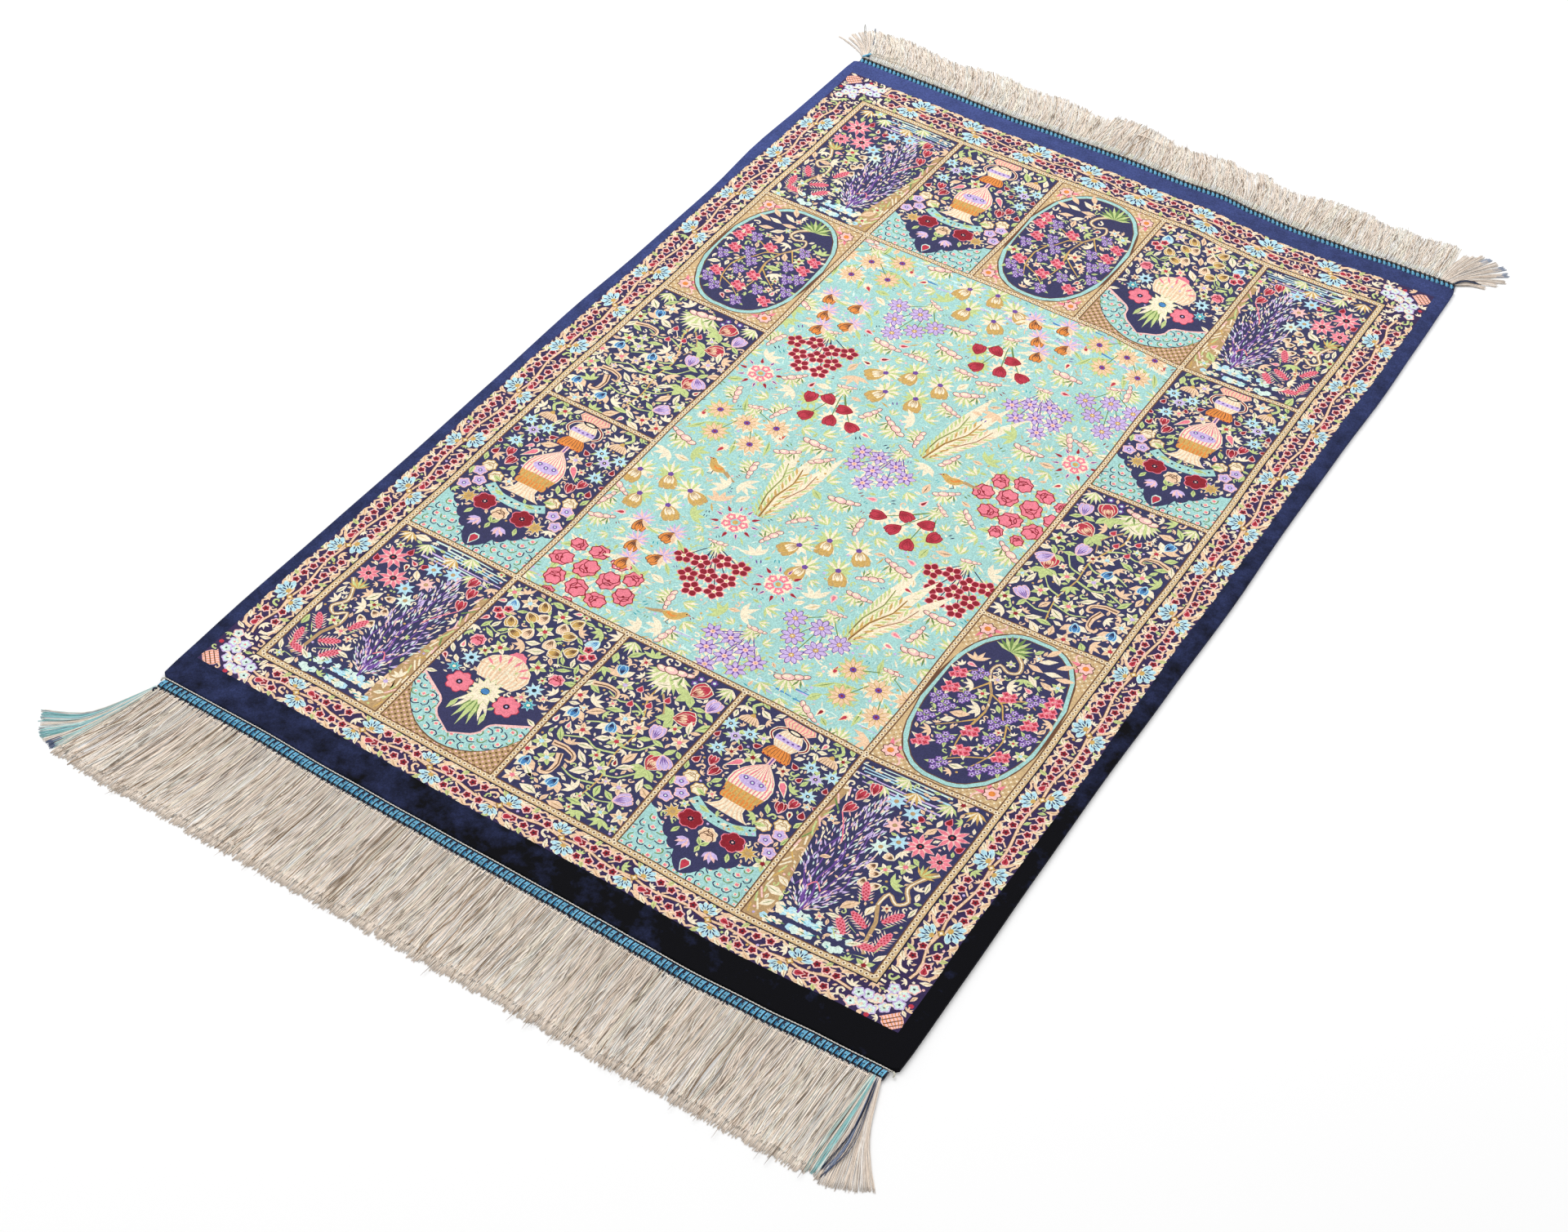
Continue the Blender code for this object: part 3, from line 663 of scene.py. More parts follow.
def oval_panel(pen, high):
    """A flowering branch in a navy oval with a turquoise rim and dotted gold corners."""
    pen.box(-50, -high, 50, high, "sand")
    for half in pen.halves():
        for turn in (1, -1):
            corner = half.at(0, 0, tall=turn)
            for x in range(12, 50, 3):
                for y in range(int(high) - 34, int(high), 3):
                    corner.lobed(1.0, 4, 0.3, "cream" if (x + y) % 2 else "tan", x, y, 1)
            spot = corner.at(39.5, high - 11)
            for angle in (200, 80, 140):
                scroll(spot.at(0, 0, angle + 60), 15, 1.8, "blush")
                spot.at(0, 0, angle).blade(13, 3.4, "rose")
            spot.lobed(7.2, 7, 0.24, "brown")
            spot.lobed(6.3, 7, 0.28, "blush")
            spot.disc(0, 0, 2.6, "orange")
    pen.oval(0, 0, 49.5, high - 0.5, "brown", 48, 0.84)
    pen.oval(0, 0, 48.6, high - 1.4, "aqua", 48, 0.84)
    pen.oval(0, 0, 45.4, high - 4.8, "brown", 48, 0.84)
    pen.oval(0, 0, 44.6, high - 5.6, "ground", 48, 0.84)
    inner = pen.at(0, 0, tall=high / 84)
    inner.line([(12, 62), (2, 54), (-1, 44), (6, 40), (14, 44), (17, 36), (12, 24), (6, 14), (2, -4),
                (4, -20)], 3.6, "tan", 0.4)
    inner.line([(12, 62), (2, 54), (-1, 44), (6, 40), (14, 44), (17, 36), (12, 24)], 1.2, "cream", 0.6)
    for points in (((12, 24), (18, 14), (24, 6), (34, 2)), ((6, 14), (-6, 8), (-12, -4), (-22, -12)),
                   ((-16, -6), (-22, -24), (-20, -44), (-14, -58)), ((4, -14), (14, -24), (26, -34)),
                   ((2, -4), (6, -34), (2, -56)), ((-4, 10), (-18, 20), (-28, 16)),
                   ((-20, -44), (-8, -50), (4, -60)), ((15, 30), (26, 30), (32, 24))):
        inner.line(points, 1.5, "gold", 0.5)
    fan(inner.at(14, 60, 10), 20, 11, 80, "leaf", "moss")
    for x, y, turn in ((-12, 62, 60), (-20, 54, 80), (-14, 70, 30), (-26, 62, 50), (-22, 44, 110),
                       (-12, 46, 130), (-30, 52, 75), (-6, 56, 100)):
        leaf(inner.at(x + 4, y, turn), 14, 5.4, "peach" if x % 4 else "cream", "tan")
    for x, y in ((-36, 30), (-31, 0), (-6, 18), (36, 22), (34, 6), (2, -26), (-28, -38), (-2, -46),
                 (27, -52), (-37, 18)):
        for turn in (40, 150, 260):
            leaf(inner.at(x, y, turn + x), 10, 3.6, "cream", "moss")
        for dx, dy in ((-2.6, 2.6), (2.8, 1.6), (-0.6, -2.8), (3, -4.4), (-3.6, -1.4)):
            inner.lobed(3.4, 4, 0.3, "rose", x + dx, y + dy)
            inner.lobed(2.1, 4, 0.5, "red", x + dx, y + dy)
    for x, y in ((-24, 24), (22, 28), (20, 2), (-18, 2), (-36, -14), (28, -14), (-14, -26), (14, -42),
                 (36, -30), (-20, -58), (6, -66), (-31, -50), (37, -8), (-10, -10)):
        for turn in (80, 200, 320):
            leaf(inner.at(x, y, turn + y), 10, 3.4)
        for dx, dy in ((-3.8, 2.8), (1.4, 3.8), (-1.2, -1.8), (4.2, -1.0), (1.2, -5.4)):
            inner.lobed(3.1, 5, 0.3, "violet", x + dx, y + dy, 3)
            inner.lobed(2.5, 5, 0.5, "lilac", x + dx, y + dy, 2)
            inner.disc(x + dx, y + dy, 0.8, "ink", 5)


def garden_panel(pen, high):
    """A palm tuft over stems with bells, tulips and irises, on navy."""
    pen = pen.at(0, 0, tall=high / 84)
    for points, yarn in ((((-2, 56), (-3, 40), (4, 24), (10, 4), (8, -18), (12, -44), (8, -70)), "gold"),
                         (((4, 24), (-8, 30), (-18, 26), (-30, 30)), "leaf"),
                         (((10, 4), (0, -2), (-14, 2), (-26, -4)), "leaf"),
                         (((8, -18), (-6, -22), (-18, -18), (-34, -26)), "leaf"),
                         (((9, -10), (20, -6), (28, 8)), "leaf"), (((12, -40), (22, -36), (30, -26)), "leaf"),
                         (((11, -50), (-4, -54), (-16, -50)), "leaf"), (((3, 50), (14, 34), (11, 18)), "tan"),
                         (((10, -60), (20, -62), (30, -58)), "leaf")):
        pen.line(points, 1.7, yarn, 0.6)
    fan(pen.at(-2, 72, 180), 26, 15, 74, "leaf", "cream")
    cloud(pen.at(-2, 71), 1.1)
    for x, y in ((18, 78), (24, 74), (21, 69), (28, 80), (30, 70), (16, 72)):
        pen.lobed(2.9, 5, 0.3, "violet", x, y)
        pen.disc(x, y, 1.3, "mist", 6)
    fan(pen.at(-42, 82, 190), 15, 7, 50, "leaf", "cream")
    fan(pen.at(42, 82, 170), 16, 7, 50, "cream", "leaf")
    for x, y in ((-12, 44), (10, 46), (2, 34), (-10, 28)):
        pen.line([(x, y), (x * 0.5, y - 8)], 0.8, "cream", steps=1)
        bud(pen.at(x, y - 3, 10), 7.5, 6, "red", "blush")
    for x, y, turn in ((-32, 46, 20), (-38, 2, 180), (-10, 4, 200), (-40, -56, 175), (-12, -62, 160)):
        for spread in (-55, 55, -20, 20):
            pen.at(x, y, turn + spread).blade(12.5, 6.2, "peach" if spread > 0 else "cream")
        tulip(pen.at(x, y + 2, turn), 10.5, 8.5, "blue", "sky", "navy")
    for x, y, turn, coat in ((20, 60, -30, "red"), (22, 34, -60, "red"), (34, -18, -10, "red")):
        for spread in (-120, 120, 180):
            leaf(pen.at(x, y, turn + spread), 13, 7, "leaf")
        tulip(pen.at(x, y, turn), 17, 17, coat, "cream", "blush")
        tulip(pen.at(x, y, turn), 11, 8, "peach", coat, "wine")
    for x, y, turn in ((38, 52, -12), (22, 8, 10), (30, -56, -50), (36, 0, -140)):
        for spread in (-110, 110):
            leaf(pen.at(x, y, turn + spread), 11, 5)
        tulip(pen.at(x, y, turn), 15, 12, "lilac", "blush", "violet")
    for x, y, turn in ((-34, 24, 70), (-30, -30, 40), (-20, -26, -70), (-44, -20, 130), (-28, -70, 60),
                       (2, -72, -80), (24, -74, 70), (-38, 66, -30), (-44, 34, 160), (40, 26, 30),
                       (16, -30, -40), (-4, -38, 60), (40, -40, 20), (-22, 14, -60), (4, 60, 120)):
        leaf(pen.at(x, y, turn), 14, 5.4, "leaf" if x % 4 else "cream", "moss", 2.0)
    for x, y, turn in ((-44, 30, -60), (-34, -34, -75), (-24, -40, -150)):
        scroll(pen.at(x, y, turn + 60), 22, 5.2, "peach")
        scroll(pen.at(x + 1, y, turn + 60), 20, 1.3, "brown")


def tree_panel(pen, high):
    """A pale weeping tree with flowers, water and grassy banks on navy; its trunk side is +x."""
    pen = pen.at(0, 0, tall=high / 82)
    rng = random.Random(5)
    pen.fill([(34, -84), (50, -84), (50, 56), (44, 50), (46, 20), (41, -10), (36, -40), (33, -60)], "tan")
    for i in range(26):
        y = -80 + 5 * i
        pen.line([(46 + rng.uniform(-5, 3), y), (47 + rng.uniform(-4, 3), y + 8)], 1.3,
                 rng.choice(("leaf", "cream", "moss", "blush", "gold")), steps=1)
    for i in range(46):
        x, y = rng.uniform(-10, 36) - 18 * (i % 3 == 0), rng.choice((-79, -77, -68, -64))
        ripple = pen.at(x, y, rng.uniform(-30, 30))
        ripple.lobed(rng.uniform(2.2, 3.6), 5, 0.2, ("mist", "sky", "cream")[i % 3])
        pen.at(x + 1, y, rng.uniform(60, 120)).blade(6, 1.1, rng.choice(("moss", "teal", "mist")))
    for y in range(62, 82, 3):
        pen.line([(rng.uniform(-24, 0), y), (rng.uniform(10, 30), y + rng.uniform(-1, 1)),
                  (rng.uniform(32, 50), y)], 1.7, rng.choice(("sky", "mist", "lilac", "leaf")), 0.5)
    for x, y, turn in ((-40, 78, 175), (-22, 74, 190), (4, 72, 170), (26, 66, 185), (14, 80, 200)):
        fan(pen.at(x, y, turn), 14, 7, 55, "leaf" if x % 4 else "gold", "cream")
    # the weeping tree: a teardrop of short pale shoots over thin boughs
    for lean, top in ((-15, 4), (-9, 28), (0, 46), (9, 34), (15, 10), (-13, -20), (13, -14)):
        bough = [(18, -60), (18 + 0.7 * lean, -36), (18 + 1.1 * lean, top - 30), (18 + 0.6 * lean, top)]
        pen.line(bough, 1.3, "violet", 0.5)
    for i in range(420):
        t = rng.random()
        half = 21.5 * math.sin(math.pi * t ** 0.72) ** 0.75
        out = rng.uniform(-1, 1)
        x, y = 18 + half * out, -60 + 116 * t
        pen.at(x, y, -out * (46 * (1 - t) + 8) + rng.uniform(-24, 24)).blade(
            rng.uniform(3.6, 6.4), 1.15, rng.choice(("mist", "lilac", "blush", "cream", "lilac")))
    pen.line([(18, -64), (17, -46), (21, -30), (16, -8), (21, 6)], 1.6, "violet", 0.5)
    pen.line([(14, -40), (20, -34), (24, -40)], 1.0, "rose")
    for x, y, r in ((-36, 48, 13), (-22, 30, 12), (-40, 24, 9)):
        bloom(pen.at(x, y, 10 * x), 9, r, 4.4, "rose", "blush", "ink", "red", LEAF)
    for x, y, turn in ((-28, 56, 0), (-44, 38, 30), (-12, 50, -40)):
        bud(pen.at(x, y, turn), 8, 6, "wine", "rose")
    for x, y, yarn in ((-3, 54, "sky"), (12, 58, "sky"), (2, 38, "blush"), (-8, 26, "sky"), (0, 16, "mist")):
        star(pen.at(x, y, 11 * x), 7.8, 7, yarn, yarn, "tan")
    for x, y, turn in ((36, 44, 10), (28, 54, -12), (38, 30, 20)):
        tulip(pen.at(x, y, turn), 12, 8, "red", "blush", "wine")
    pen.line([(38, 30), (30, 18), (24, 6)], 0.9, "rose")
    for x, y, turn in ((-6, 2, -160), (-13, -5, -120), (-5, -13, -190), (-14, 10, -80), (-18, -14, -130)):
        tulip(pen.at(x, y, turn), 8.5, 6.5, "peach", "cream", "brown")
    pen.line([(-46, 14), (-38, 4), (-34, -8), (-40, -18), (-34, -24), (-26, -18), (-24, -30), (-30, -44),
              (-32, -62), (-36, -72)], 3.6, "tan", 0.7)
    pen.line([(-46, 14), (-38, 4), (-34, -8), (-40, -18), (-34, -24), (-26, -18), (-24, -30)], 1.2, "cream")
    fan(pen.at(-36, 6, 20), 13, 7, 60, "gold", "leaf")
    for x, y, turn in ((-38, -36, 35), (-12, -24, -25), (-20, -48, -60), (-12, -58, -40), (-34, -66, 80),
                       (-42, -56, 10)):
        spike = pen.at(x, y, turn)
        for row in range(6):
            yarn = "cream" if row % 2 else "blush"
            for side in (-1, 1):
                spike.at(side * 1.5, 2.5 * row - 8, side * -52).blade(5.4, 0.95, yarn)
        spike.blade(9, 6.2, "rose", PETAL, start=-8)
        for row in range(5):
            for side in (-1, 0, 1):
                spike.at(1.5 * side, 3.0 * row - 6.4 + 1.4 * (side == 0)).lobed(0.95, 4, 0.3, "red", steps=1)
        pen.at(x, y - 9, turn).blade(7, 1.0, "leaf", start=-4)
    leaves(pen, ((-46, -30, 10), (-22, -70, 60), (-44, -74, 30), (2, -54, 80), (-46, -6, -10)),
           11, 4, "cream")


# ---------------------------------------------------------------------------------------- field

def halo(pen, radius, yarn="cream"):
    """The spiky pale ring that sets a flower off from the turquoise."""
    pen.lobed(radius, 11, 0.42, yarn, steps=2)


BUNCH_ROOT = 27.0                      # how high above a bunch's origin its stems part


def bunch(pen, heads, drawn, reach, stem="navy"):
    """Flower heads on thin stems that part from one root under a small tussock."""
    for i, (x, y) in enumerate(heads):
        halo(pen.at(x, y, 31 * i), reach + 2.6, "cream" if i % 3 else "leaf")
        leaf(pen.at(0.6 * x, 0.5 * (y + BUNCH_ROOT), 10 * x), 10, 2.6, "cream", "leaf")
    for x, y in heads:
        pen.line([(0, BUNCH_ROOT), (0.35 * x, 0.5 * (y + BUNCH_ROOT) + 3), (x, y)], 0.9, stem)
    fan(pen.at(0, BUNCH_ROOT - 2, 180), 11, 7, 70, "leaf", "cream")
    cloud(pen.at(0, BUNCH_ROOT + 2), 0.62)
    for i, (x, y) in enumerate(heads):
        drawn(pen.at(x, y, 47 * i))


def pinks(pen):
    bunch(pen, ((-22, 6), (-7, 11), (9, 7), (23, 10), (-14, -9), (1, -6), (16, -9), (-7, -22), (10, -23)),
          lambda head: bloom(head, 5, 8.4, 6.6, "wine", "rose", "cream", "gold"), 8.0)


def roses(pen):
    heads = ((-24, 22, 8), (-6, 27, 8.5), (14, 22, 8), (31, 16, 7), (-33, 4, 9), (-13, 7, 9.5), (8, 3, 10),
             (29, -3, 9), (-22, -14, 8.5), (-3, -16, 9.5), (17, -20, 9), (-9, -33, 6.5), (9, -35, 6))
    for i, (x, y, r) in enumerate(heads):
        halo(pen.at(x, y, 31 * i), r + 3.4, "cream" if i % 2 else "leaf")
        leaf(pen.at(x, y, 75 * i), r + 8, 6, "leaf", "moss")
        leaf(pen.at(x, y, 75 * i + 60), r + 7, 5, "cream", "tan")
    for i, (x, y, r) in enumerate(heads):
        rose(pen.at(x, y, 33 * i, tall=1.15), r, "rose", "wine", "wine")


def lilies(pen):
    bunch(pen, ((-22, 7), (-8, 11), (8, 9), (22, 4), (-15, -8), (1, -6), (16, -11), (-4, -22)),
          lambda head: bloom(head, 6, 9.2, 5.2, "lilac", "violet", "blush", "gold", LEAF), 8.4, "violet")


def stars(pen):
    heads = ((-24, 13), (2, 9), (25, 15), (-15, -13), (16, -13))
    leaves(pen, ((0, 18, 150), (-10, 0, 120), (12, 2, -120), (4, -14, -160), (-6, 20, 30),
                 (-26, -6, 150), (28, -2, 200)), 19, 5, bend=3)
    for x, y, turn in ((-33, 0, 10), (33, 4, -20), (0, -26, 160), (-2, 28, -40)):
        halo(pen.at(x, y), 5.5)
        bud(pen.at(x, y, turn), 9, 4.4, "red", "peach")
    bunch(pen, heads, lambda head: bloom(head, 10, 11.6, 4.6, "peach", "gold", "violet", "wine", LEAF),
          11.5, "moss")


def tulips(pen):
    bunch(pen, ((-21, 3), (-5, 8), (12, 3), (-14, -15), (4, -12), (21, -13)),
          lambda head: tulip(head.at(0, -5), 14, 12, "red", "wine", "wine"), 8.6, "moss")


def daisies(pen):
    bunch(pen, ((-21, 7), (0, 11), (20, 6), (-12, -9), (10, -10), (-1, -25)),
          lambda head: bloom(head, 8, 9.4, 4.8, "lilac", "violet", "gold", "cream"), 9, "moss")


def goblets(pen):
    for i, (x, y, turn) in enumerate(((-20, 12, -200), (4, 16, -170), (25, 4, -130), (-10, -14, -190),
                                      (15, -18, -150))):
        halo(pen.at(x, y, 20 * i), 12, "leaf" if i % 2 else "cream")
        fan(pen.at(x, y, turn + 180), 17, 7, 60, "leaf", "cream")
        fan(pen.at(x, y, turn), 21, 6, 34, "cream", "leaf")
        tulip(pen.at(x, y, turn), 18, 14, "gold", "tan", "brown")
        tulip(pen.at(x, y, turn), 12, 8, "cream", "gold", "tan")
        pen.lobed(2.6, 5, 0.2, "violet", x, y)


def bells(pen):
    for i, (x, y, turn) in enumerate(((-19, 12, 200), (9, 17, 170), (-8, -8, 190), (18, -8, 160),
                                      (0, -27, 180))):
        halo(pen.at(x, y - 5, 20 * i), 11, "cream")
        fan(pen.at(x, y, turn + 180), 13, 9, 100, "lilac", "blush")
        tulip(pen.at(x, y, turn), 14, 11, "orange", "brown", "ink")
        pen.at(x, y, turn + 40).blade(13, 4, "peach")
        leaf(pen.at(x + 6, y - 4, turn + 70), 15, 4)
        leaf(pen.at(x - 6, y - 4, turn - 60), 13, 3.6, "cream", "leaf")


def darts(pen):
    """Small closed buds that point out of a ring of florets."""
    for i in range(11):
        out = pen.at(0, 0, 33 * i)
        halo(out.at(0, 8), 4.5)
        bud(out.at(0, 13), 7, 3.0, "wine" if i % 2 else "violet", "red" if i % 2 else "blush")
    for i in range(5):
        pen.at(0, 0, 72 * i).at(0, 7).lobed(4.2, 5, 0.25, "rose")
        pen.at(0, 0, 72 * i).at(0, 7).lobed(2.2, 5, 0.5, "cream", steps=2)
    pen.disc(0, 0, 2.4, "gold")


def sheaf(pen):
    """Long feathered stalks side by side."""
    for x, turn, yarn in ((-8, 9, "peach"), (8, -9, "leaf"), (0, 0, "gold")):
        stalk = pen.at(x, 0, turn)
        stalk.blade(66, 13, "cream", start=-33)
        for i in range(12):
            for side in (-1, 1):
                stalk.at(side * 1.2, 5.2 * i - 34, -side * 32).blade(10, 2.2, yarn if i % 2 else "leaf")
        stalk.line([(0, -34), (2, -8), (-2, 14), (1, 32)], 2.4, yarn, 0.4)
        stalk.line([(0, -34), (2, -8), (-2, 14), (1, 32)], 0.8, "brown", 0.6)


def bird(pen):
    """A small perched bird in gold, seen from the side."""
    halo(pen, 9)
    pen.fill(smooth([(-9, 1), (-4, 4), (2, 4.6), (6, 8), (9, 8.4), (10.5, 6.4), (8.6, 3), (5, -2), (-1, -4),
                     (-6, -2), (-9, 1)], 2), "gold")
    pen.line([(-8, 1), (-15, -2), (-21, -3)], 4, "tan", 0.4)
    pen.line([(-5, 2), (0, 0), (3, 2)], 2.6, "orange", 0.4)
    pen.fill([(10.3, 7.3), (13, 6.4), (10.2, 5.8)], "red")
    pen.disc(8.6, 6.8, 0.7, "ink", 5)
    pen.line([(0, -4), (-1, -8), (2, -9)], 0.8, "brown", steps=1)


def tussock(pen):
    """A cloud of pale heads over long grass."""
    cloud(pen.at(0, 6))


# The sprays of the field: how each is drawn, the room it takes, and how many there are.
SPRAYS = ((roses, 37, 2), (stars, 33, 4), (goblets, 31, 4), (lilies, 29, 3), (pinks, 28, 3), (sheaf, 27, 3),
          (tulips, 28, 3), (daisies, 28, 3), (bells, 28, 3), (darts, 19, 4), (bird, 15, 3),
          (tussock, 15, 16))


def loose_tuft(pen, rng):
    fan(pen.at(0, -0.8), 1.9, 5, rng.uniform(35, 60), "leaf", "cream", 0.2)


def loose_dashes(pen, rng):
    yarn = rng.choice(("wine", "navy", "teal", "moss", "violet"))
    for x in (-0.45, 0.3):
        pen.at(x, -0.5, -20 * x).blade(1.3, 0.34, yarn)


def loose_stroke(pen, rng):
    bend = rng.uniform(-0.6, 0.6)
    yarn = rng.choice(("cream", "leaf", "cream", "mist", "gold", "peach"))
    pen.at(0, -1.4).blade(2.8, 0.5, yarn, LEAF, bend)


def loose_cloud(pen, rng):
    cloud(pen.at(0, 0.3), 0.11)


FIELD_GAPS = ((7.5, (loose_cloud, loose_tuft, loose_sprig)),
              (5.2, (loose_tuft, loose_leaf, loose_bud, loose_tuft)),
              (3.6, (loose_leaf, loose_tuft, loose_stroke, loose_dashes)),
              (2.4, (loose_stroke, loose_leaf, loose_dashes, loose_curl, loose_stroke)),
              (1.5, (loose_stroke, loose_stroke, loose_dot)))


STREAKS = 110                          # strokes of water at the field's two ends
FIELD_TRIES = 6000
SPOT_TRIES = 300                       # each spray takes the most open of so many places
LIKE_APART, LIKE_REACH = 45, 20        # how much further apart two sprays of one large kind stand


def field(pen, limits, rng):
    """Scattered sprays on turquoise, with streaked water at both ends and small leaves between."""
    x0, y0, x1, y1 = limits
    for _ in range(STREAKS):
        x, y = rng.uniform(x0, x1 - 16), rng.choice((y0 + 14, y1 - 10, y1 - 20, y1 - 30)) + rng.uniform(-8, 7)
        pen.line([(x, y), (x + rng.uniform(8, 22), y + rng.uniform(-1.5, 1.5))], rng.uniform(1.2, 2.6),
                 rng.choice(("blue", "sky", "lilac", "mist", "mist", "lilac")), 0.4, steps=1)
    cover = Cover(len(pen.shapes))
    taken = []
    for drawn, reach, count in SPRAYS:
        for _ in range(count):
            spots = [(rng.uniform(x0 + 0.7 * reach, x1 - 0.7 * reach),
                      rng.uniform(y0 + 0.7 * reach, y1 - 0.7 * reach)) for _ in range(SPOT_TRIES)]
            x, y = max(spots, key=lambda spot: min([
                math.dist(spot, (a, b)) - c - (LIKE_APART if other is drawn and reach > LIKE_REACH else 0)
                for other, a, b, c in taken], default=0))
            taken.append((drawn, x, y, reach))
            drawn(pen.at(x, y, rng.uniform(-22, 22), flip=rng.random() < 0.5))
    cover.mark(pen.shapes)
    fill_gaps(pen, cover, limits, FIELD_GAPS, FIELD_TRIES, rng)


# ------------------------------------------------------------------------------- the whole chart

GUARD_OUT, GUARD_IN = 258.5, 253.0
GUARD_NEAR, GUARD_FAR = (-438.5, -433.0), (433.0, 427.5)
STRIPE = 5.5                           # a divider between panels
COLUMNS = (-151.8, -50.6, 50.6, 151.8)
ROW_NEAR, ROW_FAR = -266.0, 256.9
LEFT_CUTS, RIGHT_CUTS = (-79.0, 91.0), (-92.5, 81.0)
STUD_PITCH = 4.2

# The border's palmettes along its sides and ends, and where the vine between them starts and stops.
SIDE_STOPS = (-380, -312, -238, -165, -92, -22, 45, 100, 170, 240, 310, 375)
END_STOPS = (-211, -150.6, -91, -31, 20.5, 80, 140, 202.5)
SIDE_RUN, END_RUN = (-424, 419), (-250, 248)

DIVIDER_LINE = 0.9                     # the brown line on either side of a divider
NAVY_HALF = 48.0                       # the half width that a panel's shares are of
EDGE_ROOM = 2                          # what a filled gap keeps from the edge of its ground
BORDER_TRIES, PANEL_TRIES = 5000, 1500

Panel = namedtuple("Panel", "kind limits flip")
# A panel's drawing, and where its navy lies by the share of its half width and half height.
Kind = namedtuple("Kind", "draw navy")
KINDS = {
    "tree": Kind(tree_panel, lambda x, y: True),
    "garden": Kind(garden_panel, lambda x, y: True),
    "vase": Kind(vase_panel, lambda x, y: y > -0.46 - 0.42 * (1 - x)),
    "shield": Kind(shield_panel, lambda x, y: y > -0.36 - 0.25 * (1 - x)),
    "oval": Kind(oval_panel, lambda x, y: x ** 2.4 + abs(y) ** 2.4 < 0.72),
}


def panels():
    """Every panel's kind and its clear rectangle inside the dividers."""
    half = STRIPE / 2
    edges = (-GUARD_IN - half,) + COLUMNS + (GUARD_IN + half,)
    made = []
    for y0, y1, kinds in ((GUARD_NEAR[1], ROW_NEAR - half, "tree shield garden vase tree"),
                          (ROW_FAR + half, GUARD_FAR[1], "tree vase oval shield tree")):
        for i, kind in enumerate(kinds.split()):
            made.append(Panel(kind, (edges[i] + half, y0, edges[i + 1] - half, y1), i == 4))
    for x0, x1, cuts, kinds in ((-GUARD_IN, COLUMNS[0] - half, LEFT_CUTS, "vase garden oval"),
                                (COLUMNS[3] + half, GUARD_IN, RIGHT_CUTS, "oval garden vase")):
        levels = (ROW_NEAR,) + cuts + (ROW_FAR,)
        for i, kind in enumerate(kinds.split()):
            made.append(Panel(kind, (x0, levels[i] + half, x1, levels[i + 1] - half), x0 > 0))
    return made


def studs(pen, x0, y0, x1, y1):
    """A row of small hollow diamonds along a stripe."""
    length = math.hypot(x1 - x0, y1 - y0)
    count = round(length / STUD_PITCH)
    for i in range(count):
        t = (i + 0.5) / count
        spot = pen.at(x0 + (x1 - x0) * t, y0 + (y1 - y0) * t)
        spot.lobed(1.9, 4, 0.0, "cream", steps=1)
        spot.lobed(0.95, 4, 0.0, "brown", steps=1)


def draw_border(pen):
    """The main border's four sides and its corners."""
    side_middle = (PATTERN_HALF + GUARD_OUT + 1) / 2
    half = (PATTERN_HALF - GUARD_OUT - 1) / 2
    for x, tall in ((-side_middle, 1), (side_middle, -1)):
        border_run(pen.at(x, 0, 90, tall=tall), SIDE_STOPS, *SIDE_RUN, half)
    for y0, y1, tall in ((BORDER_NEAR, GUARD_NEAR[0], -1), (GUARD_FAR[0], BORDER_FAR, 1)):
        middle = (y0 + y1) / 2
        border_run(pen.at(0, middle, tall=tall), END_STOPS, *END_RUN, (y1 - y0) / 2)
        for x, flip in ((-side_middle, False), (side_middle, True)):
            border_corner(pen.at(x, middle, flip=flip, tall=-tall))


def fill_border(pen, rng):
    """Small leaves in the bare places of the border's four sides."""
    cover = Cover()
    cover.mark(pen.shapes)
    outer, inner = PATTERN_HALF - EDGE_ROOM, GUARD_OUT + 1
    for limits in ((-outer, BORDER_NEAR + EDGE_ROOM, outer, GUARD_NEAR[0] - 1),
                   (-outer, GUARD_FAR[0] + 1, outer, BORDER_FAR - EDGE_ROOM),
                   (-outer, GUARD_NEAR[0], -inner, GUARD_FAR[0]),
                   (inner, GUARD_NEAR[0], outer, GUARD_FAR[0])):
        fill_gaps(pen, cover, limits, BORDER_GAPS, BORDER_TRIES, rng)


def draw_panel(pen, panel, rng):
    """One panel's picture on its navy, with small motifs in the bare places of the navy."""
    x0, y0, x1, y1 = panel.limits
    middle_x, middle_y, high = (x0 + x1) / 2, (y0 + y1) / 2, (y1 - y0) / 2
    cover = Cover(len(pen.shapes))
    kind = KINDS[panel.kind]
    kind.draw(pen.at(middle_x, middle_y, flip=panel.flip), high)
    cover.mark(pen.shapes)
    limits = (x0 + EDGE_ROOM, y0 + EDGE_ROOM, x1 - EDGE_ROOM, y1 - EDGE_ROOM)
    fill_gaps(pen, cover, limits, PANEL_GAPS, PANEL_TRIES, rng,
              lambda x, y: kind.navy(abs(x - middle_x) / NAVY_HALF, (y - middle_y) / high))


def draw_dividers(pen):
    """The studded guard round the panels, and the studded stripes between them."""
    middle = (GUARD_OUT + GUARD_IN) / 2
    near, far = sum(GUARD_NEAR) / 2, sum(GUARD_FAR) / 2
    for x in (-middle, middle):
        studs(pen, x, near, x, far)
    for y in (near, far, ROW_NEAR, ROW_FAR):
        studs(pen, -middle, y, middle, y)
    for i, x in enumerate(COLUMNS):
        for low, high in ((near, ROW_NEAR), (ROW_NEAR, ROW_FAR), (ROW_FAR, far)):
            if i in (0, 3) or low != ROW_NEAR:
                studs(pen, x, low, x, high)
    for y in LEFT_CUTS:
        studs(pen, -middle, y, COLUMNS[0], y)
    for y in RIGHT_CUTS:
        studs(pen, COLUMNS[3], y, middle, y)


